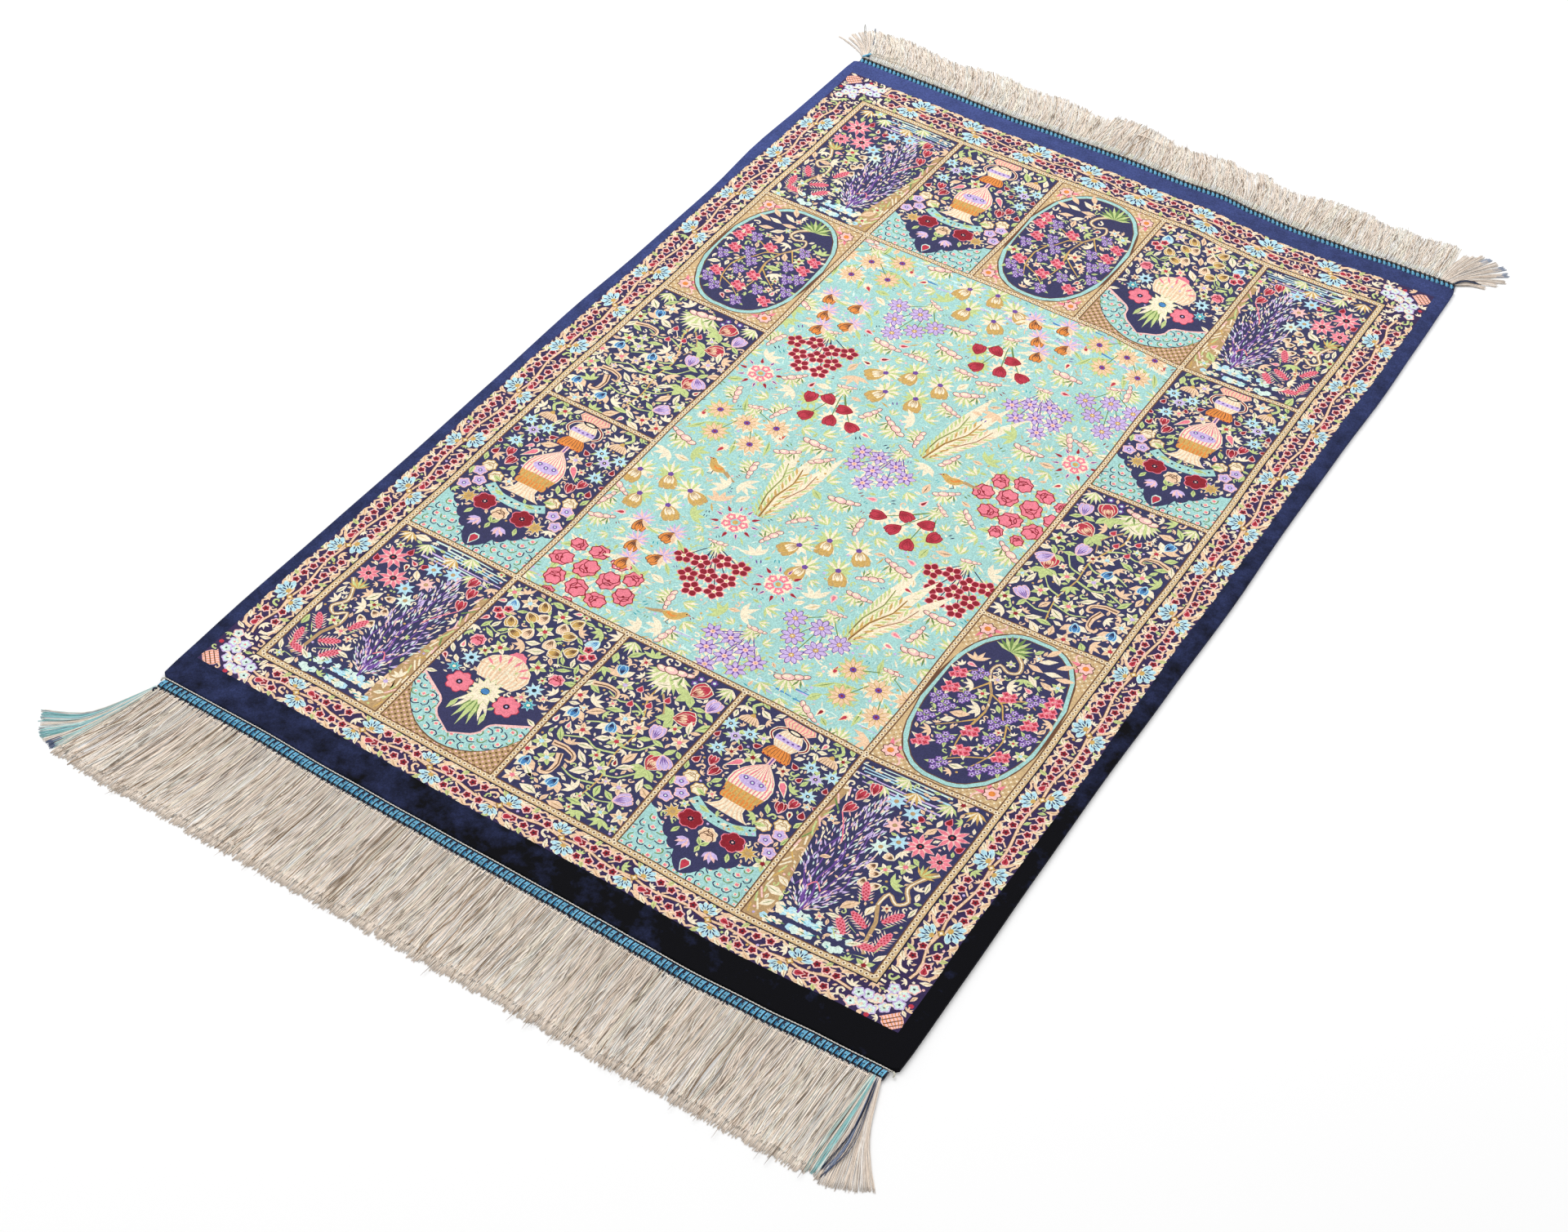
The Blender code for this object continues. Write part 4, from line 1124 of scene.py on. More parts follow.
def draw_rug():
    """All the coloured outlines of the rug, from the grounds up."""
    pen, rng = Pen([]), random.Random(3)
    border = pen.within(-PATTERN_HALF, BORDER_NEAR, PATTERN_HALF, BORDER_FAR, "plum")
    draw_border(border)
    fill_border(border, rng)
    pen.box(-GUARD_OUT - 1, GUARD_NEAR[0] - 1, GUARD_OUT + 1, GUARD_FAR[0] + 1, "ink")
    pen.box(-GUARD_OUT, GUARD_NEAR[0], GUARD_OUT, GUARD_FAR[0], "sand")
    field_half = COLUMNS[3] - STRIPE / 2
    field_limits = (-field_half, ROW_NEAR + STRIPE / 2, field_half, ROW_FAR - STRIPE / 2)
    made = panels()
    for x0, y0, x1, y1 in [panel.limits for panel in made] + [field_limits]:
        pen.box(x0 - DIVIDER_LINE, y0 - DIVIDER_LINE, x1 + DIVIDER_LINE, y1 + DIVIDER_LINE, "brown")
    for panel in made:
        draw_panel(pen.within(*panel.limits, "ground"), panel, rng)
    field(pen.within(*field_limits, "aqua"), field_limits, rng)
    draw_dividers(pen)
    return pen.shapes


# ------------------------------------------------------------------------------ meshes and tiles

def add_mesh(name, points, faces, yarns, finish, soft=False):
    """A piece from points in mm, its faces, and one linear colour for each face."""
    mesh = bpy.data.meshes.new(name)
    mesh.from_pydata([(x * MM, y * MM, z * MM) for x, y, z in points], [], faces)
    colours = mesh.color_attributes.new("yarn", "FLOAT_COLOR", "CORNER")
    flat = []
    for face, yarn in zip(faces, yarns):
        flat.extend((*yarn, 1.0) * len(face))
    colours.data.foreach_set("color", flat)
    if soft:
        mesh.shade_smooth()
    mesh.materials.append(finish)
    placed = bpy.data.objects.new(name, mesh)
    bpy.context.scene.collection.objects.link(placed)
    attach(placed, "root")
    return placed


SNAP = 0.1                             # outlines meet on a grid of this pitch
LEAST_AREA = 0.1                       # a smaller outline is left out
SAME_POINT = 1e-5
TILE_DEPTH = 1.0                       # how deep the patterned pile is set into the mat
EDGE_STEP = 6.0                        # the longest straight stretch of a tile's edge
SOFT_CORNER = 10                       # an outline is straightened where it turns by fewer degrees


def stepped(a, b):
    """Places from a up to b, not b itself, so that a straight chart edge can follow the weave."""
    count = max(1, math.ceil(abs(b - a) / EDGE_STEP))
    return [a + (b - a) * i / count for i in range(count)]


def rectangle(x0, y0, x1, y1):
    """A rectangle's outline in short steps, counter-clockwise."""
    return ([(x, y0) for x in stepped(x0, x1)] + [(x1, y) for y in stepped(y0, y1)]
            + [(x, y1) for x in stepped(x1, x0)] + [(x0, y) for y in stepped(y1, y0)])


def signed_area(points):
    return sum(a[0] * b[1] - b[0] * a[1] for a, b in zip(points, points[1:] + points[:1])) / 2


def triangulated(limits, shapes):
    """The chart inside a rectangle as (points, faces, yarns), the last-drawn shape on top."""
    x0, y0, x1, y1 = limits
    points, rings, yarns, clips = [], [], [], []
    ring_of = {}
    for number, (outline, yarn, clip) in enumerate([(rectangle(*limits), None, None)] + shapes, -1):
        if yarn:
            xs, ys = [x for x, _ in outline], [y for _, y in outline]
            if max(xs) <= x0 or min(xs) >= x1 or max(ys) <= y0 or min(ys) >= y1:
                continue
            outline = [(round(x / SNAP) * SNAP, round(y / SNAP) * SNAP) for x, y in outline]
            outline = [q for q, r in zip(outline, outline[1:] + outline[:1]) if q != r]
        area = signed_area(outline) if len(outline) > 2 else 0.0
        if abs(area) < LEAST_AREA:
            continue
        if area < 0:
            outline.reverse()
        ring_of[number] = len(rings)
        rings.append(list(range(len(points), len(points) + len(outline))))
        points.extend(Vector(q) for q in outline)
        yarns.append(yarn)
        clips.append(ring_of.get(clip))
    found, _, faces, _, _, owners = delaunay_2d_cdt(points, [], rings, 0, SAME_POINT, True)
    kept = []
    for face, own in zip(faces, owners):
        if 0 in own:
            top = max(ring for ring in own if clips[ring] is None or clips[ring] in own)
            kept.append((face, yarns[top]))
    used = sorted({i for face, _ in kept for i in face})
    index = {old: new for new, old in enumerate(used)}
    return ([tuple(found[i]) for i in used], [tuple(index[i] for i in face) for face, _ in kept],
            [yarn for _, yarn in kept])


def simplified(points, faces, yarns):
    """The coloured plan without its hidden lines, its edges following the weave, laid out on the mat."""
    names = list(YARN_LIGHT)
    plan = bmesh.new()
    corners = [plan.verts.new((x, y, 0.0)) for x, y in points]
    for face, yarn in zip(faces, yarns):
        plan.faces.new([corners[i] for i in face]).material_index = names.index(yarn)
    plan.normal_update()
    inner = [corner for corner in corners if not corner.is_boundary]
    bmesh.ops.dissolve_limit(plan, angle_limit=math.radians(SOFT_CORNER), verts=inner, edges=plan.edges,
                             delimit={"MATERIAL"})
    while long_edges := [edge for edge in plan.edges if edge.calc_length() > 2 * EDGE_STEP]:
        bmesh.ops.bisect_edges(plan, edges=long_edges, cuts=1)
    for corner in plan.verts:
        corner.co.xy = woven(*corner.co.xy)
    bmesh.ops.triangulate(plan, faces=plan.faces)
    plan.verts.index_update()
    kept = ([corner.co.xy.to_tuple() for corner in plan.verts],
            [tuple(corner.index for corner in face.verts) for face in plan.faces],
            [names[face.material_index] for face in plan.faces])
    plan.free()
    return kept


def make_tile(name, limits, shapes, finish):
    """One closed block of patterned pile."""
    flat, faces, yarns = simplified(*triangulated(limits, shapes))
    tops = [(x, y, MAT_TOP) for x, y in flat]
    sides = dict.fromkeys((a, b) for face in faces for a, b in zip(face, face[1:] + face[:1]))
    rim = {a: b for a, b in sides if (b, a) not in sides}
    low = {a: len(tops) + i for i, a in enumerate(rim)}
    lows = [(*flat[a], MAT_TOP - TILE_DEPTH) for a in rim]
    walls = [(b, a, low[a], low[b]) for a, b in rim.items()]
    start = next(iter(rim))
    loop, at = [start], rim[start]
    while at != start:
        loop.append(at)
        at = rim[at]
    floor = tuple(low[a] for a in reversed(loop))
    colours = [YARN_LIGHT[yarn] for yarn in yarns] + [YARN_LIGHT["ground"]] * (len(walls) + 1)
    add_mesh(name, tops + lows, faces + walls + [floor], colours, finish)


# ------------------------------------------------------------------------------------- materials

SPECULAR = 0.12
SHEEN_ROUGHNESS = 0.4
PLAIN_WHITE = (1.0, 1.0, 1.0)


class Finish:
    """A new material: its shader, and the nodes that feed it by the place on the piece."""

    def __init__(self, name, roughness, sheen, sheen_colour=PLAIN_WHITE):
        self.material = bpy.data.materials.new(name)
        self.material.use_nodes = True
        self.nodes, self.links = self.material.node_tree.nodes, self.material.node_tree.links
        self.shader = self.nodes["Principled BSDF"]
        for socket, value in (("Roughness", roughness), ("Sheen Weight", sheen),
                              ("Sheen Roughness", SHEEN_ROUGHNESS), ("Sheen Tint", (*sheen_colour, 1.0)),
                              ("Specular IOR Level", SPECULAR)):
            self.shader.inputs[socket].default_value = value
        self.place = self.nodes.new("ShaderNodeTexCoord").outputs["Object"]

    def feed(self, sockets, values):
        """Sets or links each socket; a value may be a number, linear red, green and blue, or an output."""
        for socket, value in zip(sockets, values):
            if isinstance(value, (int, float)):
                socket.default_value = value
            elif isinstance(value, tuple):
                socket.default_value = (*value, 1.0)
            else:
                self.links.new(value, socket)

    def number(self, operation, *values):
        """One step of arithmetic."""
        node = self.nodes.new("ShaderNodeMath")
        node.operation = operation
        self.feed(node.inputs, values)
        return node.outputs[0]

    def mixed(self, factor, a, b, mode="MIX"):
        """One colour mixed over another."""
        node = self.nodes.new("ShaderNodeMix")
        node.data_type, node.blend_type = "RGBA", mode
        self.feed((node.inputs[0], node.inputs[6], node.inputs[7]), (factor, a, b))
        return node.outputs[2]

    def noise(self, scale, detail, roughness=0.5):
        node = self.nodes.new("ShaderNodeTexNoise")
        self.feed([node.inputs[name] for name in ("Scale", "Detail", "Roughness", "Vector")],
                  (scale, detail, roughness, self.place))
        return node.outputs["Fac"]

    def knots(self):
        """The grid of knots: (a random shade for each knot, its rounded height)."""
        cells = self.nodes.new("ShaderNodeTexVoronoi")
        cells.voronoi_dimensions, cells.distance = "2D", "CHEBYCHEV"
        self.feed([cells.inputs[name] for name in ("Scale", "Randomness", "Vector")],
                  (1 / (KNOT * MM), 0.35, self.place))
        parts = self.nodes.new("ShaderNodeSeparateColor")
        self.links.new(cells.outputs["Color"], parts.inputs[0])
        return parts.outputs[0], self.number("SUBTRACT", 1.0, cells.outputs["Distance"])

    def yarn_colour(self):
        """The colour that each face of the mesh has."""
        yarn = self.nodes.new("ShaderNodeVertexColor")
        yarn.layer_name = "yarn"
        return yarn.outputs["Color"]

    def coat(self, colour, level):
        """The base colour: a colour made lighter or darker by a level."""
        grey = self.nodes.new("ShaderNodeCombineColor")
        self.feed(grey.inputs, (level, level, level))
        self.feed([self.shader.inputs["Base Color"]], [self.mixed(1.0, colour, grey.outputs[0], "MULTIPLY")])

    def bump(self, height, distance, strength):
        node = self.nodes.new("ShaderNodeBump")
        self.feed([node.inputs[name] for name in ("Distance", "Strength", "Height")],
                  (distance, strength, height))
        self.links.new(node.outputs[0], self.shader.inputs["Normal"])


KNOT_HEIGHT, TWIST_HEIGHT = 0.4 * MM, 0.2 * MM
PILE_LEVEL, PILE_KNOTS, PILE_PATCHES = 0.72, 0.34, 0.16
NAVY_DARK, NAVY_SHEEN_PALE = linear("010106"), linear("434f86")
# The navy's painted sheen, as paleness: in the middle without the nap, how it grows along +Y and +X, and what
# the nap's painted sheen patches add.
NAVY_SHEEN_LEVEL, NAVY_SHEEN_ALONG, NAVY_SHEEN_ACROSS, NAVY_SHEEN_PATCHES = -0.03, 0.75, -0.7, 0.9


def pile_finish():
    """Cut silk pile in the yarn colours, lighter and darker from knot to knot and in soft patches."""
    pile = Finish("silk_pile", roughness=0.62, sheen=0.15)
    shade, height = pile.knots()
    level = pile.number("MULTIPLY_ADD", shade, PILE_KNOTS, PILE_LEVEL)
    level = pile.number("MULTIPLY_ADD", pile.noise(scale=24, detail=3), PILE_PATCHES, level)
    pile.coat(pile.yarn_colour(), level)
    pile.bump(height, KNOT_HEIGHT, strength=0.5)
    return pile.material


def plain_pile_finish():
    """The navy pile of the outer band, with painted sheen: lighter towards the far end and the left side,
    and soft velvety patches of painted sheen where the nap lies over."""
    pile = Finish("navy_pile", roughness=0.85, sheen=0.02, sheen_colour=(0.5, 0.55, 1.0))
    parts = pile.nodes.new("ShaderNodeSeparateXYZ")
    pile.links.new(pile.place, parts.inputs[0])
    # painted sheen: paler towards the far end and the left side, and in soft patches
    painted_sheen = pile.number("MULTIPLY_ADD", parts.outputs["Y"], NAVY_SHEEN_ALONG, NAVY_SHEEN_LEVEL)
    painted_sheen = pile.number("MULTIPLY_ADD", parts.outputs["X"], NAVY_SHEEN_ACROSS, painted_sheen)
    painted_sheen = pile.number("MULTIPLY_ADD", pile.noise(scale=60, detail=4, roughness=0.65), NAVY_SHEEN_PATCHES, painted_sheen)
    painted_sheen.node.use_clamp = True
    shade, height = pile.knots()
    pile.coat(pile.mixed(painted_sheen, NAVY_DARK, NAVY_SHEEN_PALE), pile.number("MULTIPLY_ADD", shade, 0.5, 0.75))
    pile.bump(height, KNOT_HEIGHT, strength=0.6)
    return pile.material


def yarn_finish(name, roughness, spread, sheen):
    """Twisted yarn in its own colours, streaked along its length."""
    yarn = Finish(name, roughness, sheen)
    streak = yarn.noise(scale=420, detail=2)
    yarn.coat(yarn.yarn_colour(), yarn.number("MULTIPLY_ADD", streak, spread, 1 - spread / 2))
    yarn.bump(yarn.noise(scale=1400, detail=1), TWIST_HEIGHT, strength=0.4)
    return yarn.material


# -------------------------------------------------------------------------------------- rug body

ROUNDING = 1.0                         # the pile's rounded top edge


def mat_outline():
    """The mat's edge in plan, counter-clockwise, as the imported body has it."""
    return sorted((Vector(q) for q in mat_rim), key=lambda q: math.atan2(q.y, q.x))


def inset(points, distance):
    """A counter-clockwise outline moved inwards."""
    moved = []
    for i, (x, y) in enumerate(points):
        ahead, behind = points[(i + 1) % len(points)], points[i - 1]
        along = Vector((ahead[0] - behind[0], ahead[1] - behind[1])).normalized()
        moved.append((x - along.y * distance, y + along.x * distance))
    return moved


def wall(low, high, count):
    """The faces between two loops of so many points, which start at the points numbered low and high."""
    return [(low + i, low + (i + 1) % count, high + (i + 1) % count, high + i) for i in range(count)]


def make_body(finish):
    """The foundation and the plain navy band, with a shallow bed that the patterned pile lies in."""
    outline = mat_outline()
    bed = [woven(x, y) for x, y in rectangle(-PATTERN_HALF, BORDER_NEAR, PATTERN_HALF, BORDER_FAR)]
    count, size = len(outline), len(bed)
    points, faces = [], []
    for distance, height in ((0.0, 0.0), (0.0, MAT_TOP - ROUNDING),
                             (0.3 * ROUNDING, MAT_TOP - 0.3 * ROUNDING), (ROUNDING, MAT_TOP)):
        if points:
            faces.extend(wall(len(points) - count, len(points), count))
        points.extend((x, y, height) for x, y in inset(outline, distance))
    faces.append(tuple(reversed(range(count))))
    # the band between the rounded edge and the bed
    top, origin = len(points) - count, len(points)
    flat = [Vector(q[:2]) for q in points[top:]] + [Vector(q) for q in bed]
    rings = [list(range(count)), list(range(count, count + size))]
    found, _, band, _, _, owners = delaunay_2d_cdt(flat, [], rings, 0, SAME_POINT, True)
    points.extend((q.x, q.y, MAT_TOP) for q in found[count:])
    faces.extend(tuple(top + i for i in face) for face, own in zip(band, owners) if own == [0])
    low = len(points)
    points.extend((x, y, MAT_TOP - TILE_DEPTH) for x, y in bed)
    faces.extend(wall(origin, low, size))
    faces.append(tuple(low + i for i in range(size)))
    body = add_mesh("rug_pile_and_foundation", points, faces, [YARN_LIGHT["navy"]] * len(faces), finish)
    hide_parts("rug_body")
    return body


TILE_ROWS = 4
SEAM = 0.5                             # how far outside the guard the tiles of the border start


def make_pattern(finish):
    """The patterned pile, cut into tiles small enough for their finish to keep its detail."""
    shapes = draw_rug()
    outer, ring = PATTERN_HALF, GUARD_OUT + SEAM
    near, far = GUARD_NEAR[0] - SEAM, GUARD_FAR[0] + SEAM
    levels = [near + (far - near) * i / TILE_ROWS for i in range(TILE_ROWS + 1)]
    places = {"pile_border_near_left": (-outer, BORDER_NEAR, 0, near),
              "pile_border_near_right": (0, BORDER_NEAR, outer, near),
              "pile_border_far_left": (-outer, far, 0, BORDER_FAR),
              "pile_border_far_right": (0, far, outer, BORDER_FAR)}
    for i, (low, high) in enumerate(zip(levels, levels[1:]), 1):
        places[f"pile_border_left_{i}"] = (-outer, low, -ring, high)
        places[f"pile_left_{i}"] = (-ring, low, 0, high)
        places[f"pile_right_{i}"] = (0, low, ring, high)
        places[f"pile_border_right_{i}"] = (ring, low, outer, high)
    for name, limits in places.items():
        make_tile(name, limits, shapes, finish)


# ------------------------------------------------------------------------------------ yarn pieces

class Yarns:
    """Gathers tubes of yarn into one piece."""

    def __init__(self):
        self.points, self.faces, self.colours = [], [], []

    def tube(self, path, radii, colour, sides=3, phase=0.0):
        """A closed tube along a path of (x, y, z); radii are (sideways, upright), and the colour may be
        a list with one for each stretch of the path."""
        base = len(self.points)
        for i, (x, y, z) in enumerate(path):
            ahead, behind = path[min(i + 1, len(path) - 1)], path[max(i - 1, 0)]
            run = Vector(ahead) - Vector(behind)
            across = run.cross(Vector((0, 0, 1)))
            across = across.normalized() if across.length > 1e-6 else Vector((1, 0, 0))
            up = across.cross(run).normalized()
            wide, high = radii[i] if isinstance(radii, list) else radii
            for k in range(sides):
                angle = phase + math.tau * k / sides
                self.points.append(tuple(Vector((x, y, z)) + across * wide * math.cos(angle)
                                         + up * high * math.sin(angle)))
        last = base + (len(path) - 1) * sides
        for low in range(base, last, sides):
            self.faces.extend(wall(low, low + sides, sides))
        self.faces.append(tuple(base + k for k in reversed(range(sides))))
        self.faces.append(tuple(last + k for k in range(sides)))
        tones = colour if isinstance(colour, list) else [colour] * (len(path) - 1)
        for tone in tones:
            self.colours.extend([tone] * sides)
        self.colours.extend((tones[0], tones[-1]))

    def make(self, name, finish, node):
        """The piece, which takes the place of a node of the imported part."""
        piece = add_mesh(name, self.points, self.faces, self.colours, finish, soft=True)
        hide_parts(node)


LIGHTEST = 0.98


def shaded(colour, level):
    """A colour made lighter or darker, but never lighter than a real yarn."""
    return tuple(min(c * level, LIGHTEST) for c in colour)


CREAM = linear("ffefdf")
PALE = linear("fff7ef")
SHADOW = linear("a08466")
GREY = linear("c9c6b8")
GREY_BLUE = linear("aab5c9")
SLATE = linear("707c9e")
LIGHT_BLUE = linear("79c4e6")
MID_BLUE = linear("1f7cae")
DEEP_BLUE = linear("0b1030")
BLACK_BLUE = linear("04060f")
TURQUOISE = linear("9fd9da")
DUSTY = linear("c6e6e3")

GAP = 0.3                              # between the pile, the cord, the binding and the fringe
CORD_WIDTH = 1.1
CORD_HEIGHT = 3.3
CORD_ENDS = ((-299.5, -1), (299.3, 1))  # where each end of the cord turns down, and which way is out
PLY_START, PLY_STEP, PLY_COUNT = -298.5, 2.2, 272
PLY_RADII = (0.24, 0.3)
BINDING_WIDTH = 9.0
NARROWING, NARROW_FROM, NARROW_OVER = 1.3, 225, 60  # near the right end of the near binding
RIB_PITCH = 4.4
TURNS = 4                              # turns of wrapping yarn on each rib
BACK_TURN = 3                          # the dark one, which lies lower
TURN_RADII = (0.52, 0.34)
Profile = namedtuple("Profile", "out up")
BINDING_PROFILE = [Profile(0.0, 0.1), Profile(0.5, 2.0), Profile(1.0, 2.4), Profile(3.9, 2.9),
                   Profile(4.7, 2.9), Profile(6.9, 2.45), Profile(8.2, 1.7), Profile(8.8, 0.2)]


def binding_start(x, end):
    """Where the binding starts outside the pile, and which way is out."""
    if end == "near":
        return read(near_edge, x) - (2 * GAP + CORD_WIDTH), -1
    return read(far_edge, x) + GAP, 1


def binding_width(x, end):
    """The near binding narrows a little towards its right end."""
    share = min(max((x - NARROW_FROM) / NARROW_OVER, 0.0), 1.0) if end == "near" else 0.0
    return BINDING_WIDTH - NARROWING * share


def make_edge_cord(finish):
    """The cream twining cord between the near end of the pile and its binding."""
    yarns = Yarns()
    places = [PLY_START + PLY_STEP * i for i in range(PLY_COUNT)]
    for ply in (0, 1):
        path = []
        for i, x in enumerate(places):
            turn = math.pi * (i + ply)
            y = read(near_edge, x) - GAP - CORD_WIDTH / 2
            path.append((x, y + 0.22 * math.cos(turn), CORD_HEIGHT - 0.75 + 0.2 * math.sin(turn + 0.8)))
        yarns.tube(path, PLY_RADII, PALE if ply else GREY, 5)
    for x, out in CORD_ENDS:
        y = read(near_edge, x) - GAP
        yarns.tube([(x - out, y - 0.4, 2.6), (x + 0.8 * out, y - 1.4, 2.2), (x + 0.6 * out, y - 3.6, 1.4)],
                   (0.6, 0.6), GREY, 6)
    # a deep blue tube under the plies: painted shade on the cord's lower sides, so that only the plies' top
    # shows light
    core = [(x, read(near_edge, x) - GAP - CORD_WIDTH / 2, CORD_HEIGHT / 2 - 0.2) for x in places[::4]]
    yarns.tube(core, (CORD_WIDTH / 2, CORD_HEIGHT / 2 - 0.4), DEEP_BLUE, 6, math.pi / 6)
    yarns.make("edge_cord", finish, "edge_cord_near")


def turn_colours(end, turn, rng):
    """The colours along one turn of the wrapping, from the pile outwards."""
    level = rng.uniform(0.85, 1.15) * (1.0 if end == "near" else 0.8)
    light, middle, dark = shaded(LIGHT_BLUE, level), shaded(MID_BLUE, level), DEEP_BLUE
    if turn == BACK_TURN:
        return [dark, dark, dark, dark, BLACK_BLUE, BLACK_BLUE, BLACK_BLUE]
    # on the far binding every turn is near-black past the crest: painted shade on the outer side, which
    # slopes down to the fringe
    if end == "far":
        if turn == 2:
            return [dark, dark, middle, shaded(middle, 0.5), BLACK_BLUE, BLACK_BLUE, BLACK_BLUE]
        return [dark, light, light, light, BLACK_BLUE, BLACK_BLUE, BLACK_BLUE]
    if turn == 2:
        return [dark, light, light, light, light, shaded(light, 0.3), dark]
    if turn == 0:
        notch = light if rng.random() < 0.5 else dark
        return [dark, middle, notch, middle, light if rng.random() < 0.5 else middle, dark, dark]
    notch = shaded(light, 0.7)
    return [dark, middle, notch, dark, notch, dark, dark]


def near_tooth(rng, x, y):
    """A dark end of yarn that runs out between two bunches of the near fringe; y is the binding's edge."""
    reach = rng.choice((1.6, 2.4, 3.4, 7.0))
    return ([(x, y, 1.9), (x + 0.1, y - 0.6 * reach, 2.1), (x + 0.2, y - reach, 1.8)],
            [(0.5, 0.3), (0.38, 0.3), (0.1, 0.1)], DEEP_BLUE, 4)


def far_tooth(rng, x, y):
    """The dark back of a rib's wrapping, on the crest of the far binding; y is where the binding starts."""
    tip = y + rng.uniform(-0.5, 0.5)
    return ([(x - 0.4, y + 3.4, 2.9), (x - 1.0, y + 5.4, 3.3), (x - 1.6, tip + 7.2, 3.2),
             (x - 2.0, tip + 8.4, 2.8)], [(0.5, 0.3), (1.05, 0.4), (0.9, 0.4), (0.3, 0.2)], BLACK_BLUE, 5)


def make_binding(name, end, start_x, ribs, finish):
    """Blue wrapping yarn over a navy core, with a dark tooth beside each rib."""
    rng = random.Random(name)
    yarns = Yarns()
    core = []
    for i in range(ribs * 2 + 1):
        x = start_x + i * RIB_PITCH / 2
        y, outward = binding_start(x, end)
        core.append((x, y + outward * binding_width(x, end) / 2, 1.25))
    yarns.tube(core, (BINDING_WIDTH / 2 - 1.1, 1.15), DEEP_BLUE, 8, math.pi / 8)
    for i in range(ribs):
        for turn in range(TURNS):
            x = start_x + RIB_PITCH * (i + (turn + 0.5) / TURNS)
            y, outward = binding_start(x, end)
            size = binding_width(x, end) / BINDING_WIDTH
            lean = (-0.9 if end == "near" else -3.0) + rng.uniform(-0.4, 0.4)
            path = [(x + lean * (p.out / BINDING_WIDTH - 0.5), y + outward * p.out * size,
                     p.up * (0.9 if turn == BACK_TURN else 1.0)) for p in BINDING_PROFILE]
            yarns.tube(path, TURN_RADII, turn_colours(end, turn, rng), 5)
        x = start_x + RIB_PITCH * (i + 0.85)
        y, _ = binding_start(x, end)
        if end == "near":
            yarns.tube(*near_tooth(rng, x, y - binding_width(x, end) + 0.7))
        else:
            yarns.tube(*far_tooth(rng, x, y))
    yarns.make(name + "_wraps", finish, name)


# Where the fringe's locks end: root across the rug, and tip.
Sway = namedtuple("Sway", "x tip_x tip_y")
NEAR_SWAY = [
    Sway(-296, -316, -580.5), Sway(-280, -296, -582), Sway(-250, -264, -583), Sway(-225, -240, -582.5),
    Sway(-200, -209, -583), Sway(-175, -184, -584.5), Sway(-150, -157, -583), Sway(-100, -104, -583.5),
    Sway(0, -2, -583.5), Sway(60, 57, -583), Sway(100, 101, -583.5), Sway(125, 126, -584.5),
    Sway(200, 200, -583.5), Sway(287, 286, -583)]
FAR_SWAY = [
    Sway(-296, -318, 545), Sway(-280, -304, 549), Sway(-250, -275, 552), Sway(-230, -254, 547),
    Sway(-200, -222, 544), Sway(-180, -201, 550), Sway(-150, -171, 553), Sway(-130, -150, 548),
    Sway(-100, -118, 553), Sway(-80, -94, 550), Sway(-60, -68, 546), Sway(-54, -57, 556), Sway(-40, -43, 558),
    Sway(-20, -27, 557), Sway(0, -12, 554), Sway(20, 6, 548), Sway(40, 24, 547), Sway(60, 42, 551),
    Sway(80, 60, 554), Sway(95, 76, 547), Sway(110, 92, 554), Sway(125, 110, 546), Sway(140, 130, 543),
    Sway(150, 144, 547), Sway(165, 161, 552), Sway(200, 194, 553), Sway(215, 208, 549), Sway(225, 219, 546),
    Sway(240, 234, 551), Sway(255, 250, 548), Sway(270, 267, 553), Sway(283, 281, 555)]

# How the two fringes differ: the points along a strand, how unevenly the strands end, how far they sway,
# how much painted light lightens their root stretch, and each lock's painted gap shadows, their greatest
# length and its short ends.
Fringe = namedtuple("Fringe", "steps uneven wave fresh gaps gap_length short_ends")
FRINGES = {"near": Fringe(8, 0.8, 0.9, 1.0, 7, 22, 7), "far": Fringe(7, 2.0, 1.4, 1.2, 5, 13, 0)}

STRIP_DEPTH = 1.6
STRANDS = 11                           # strands in a lock
STRAND_RADIUS = 0.33
ROOT_SPREAD, TIP_SPREAD = 3.7, 5.6     # a lock's width at its root and at its tip
LOCK_BOW = 0.36                        # share of the sideways drift that a lock has at half length
KEPT_IN_LINE = 0.84                    # share of the strands that don't stray from their lock
UNDERLAY = 5.0                         # how much further the lowest near strands reach
CUT_END = 3.2                          # the darker, frayed last part of a strand, partly painted shade at the cut ends
SHORT_END = 11                         # the length of the cut ends that show under the near strands
SHORT_SPREAD = 5.4                     # and the width that those of one lock take
THREAD_HEIGHT = 2.6

# Single threads that lie on the fringes, each with its colour and radius.
Thread = namedtuple("Thread", "path yarn radius")
LOOSE_THREADS = {
    "fringe_near": [Thread(((-296.5, -499.5), (-298.5, -501), (-297.2, -503)), DEEP_BLUE, 0.8)],
    "fringe_far": [
        Thread(((-298, 506), (-291, 511), (-282, 511), (-274, 514), (-271, 517)), GREY, 0.34),
        Thread(((-297, 505), (-280, 508), (-262, 509), (-250, 509), (-240, 506), (-226, 507), (-212, 502)),
               GREY, 0.34),
        Thread(((-300.5, 499), (-298.2, 503), (-296.5, 507.5)), shaded(LIGHT_BLUE, 0.9), 1.1),
        Thread(((-297.2, 501), (-296.4, 504)), shaded(MID_BLUE, 0.35), 1.3),
        Thread(((-30, 538), (-22, 540), (-12, 539), (-4, 538)), CREAM, 0.4)],
}


def straight(rows, column, at):
    """A column of a sway table, read along straight lines between its rows."""
    for low, high in zip(rows, rows[1:]):
        if at <= high.x:
            share = (at - low.x) / (high.x - low.x)
            return getattr(low, column) * (1 - share) + getattr(high, column) * share
    return getattr(rows[-1], column)


def drift(t, bow):
    """The share of a lock's sideways way that it has made at a share t of its length."""
    return t + (bow - 0.5) * 4 * t * (1 - t)


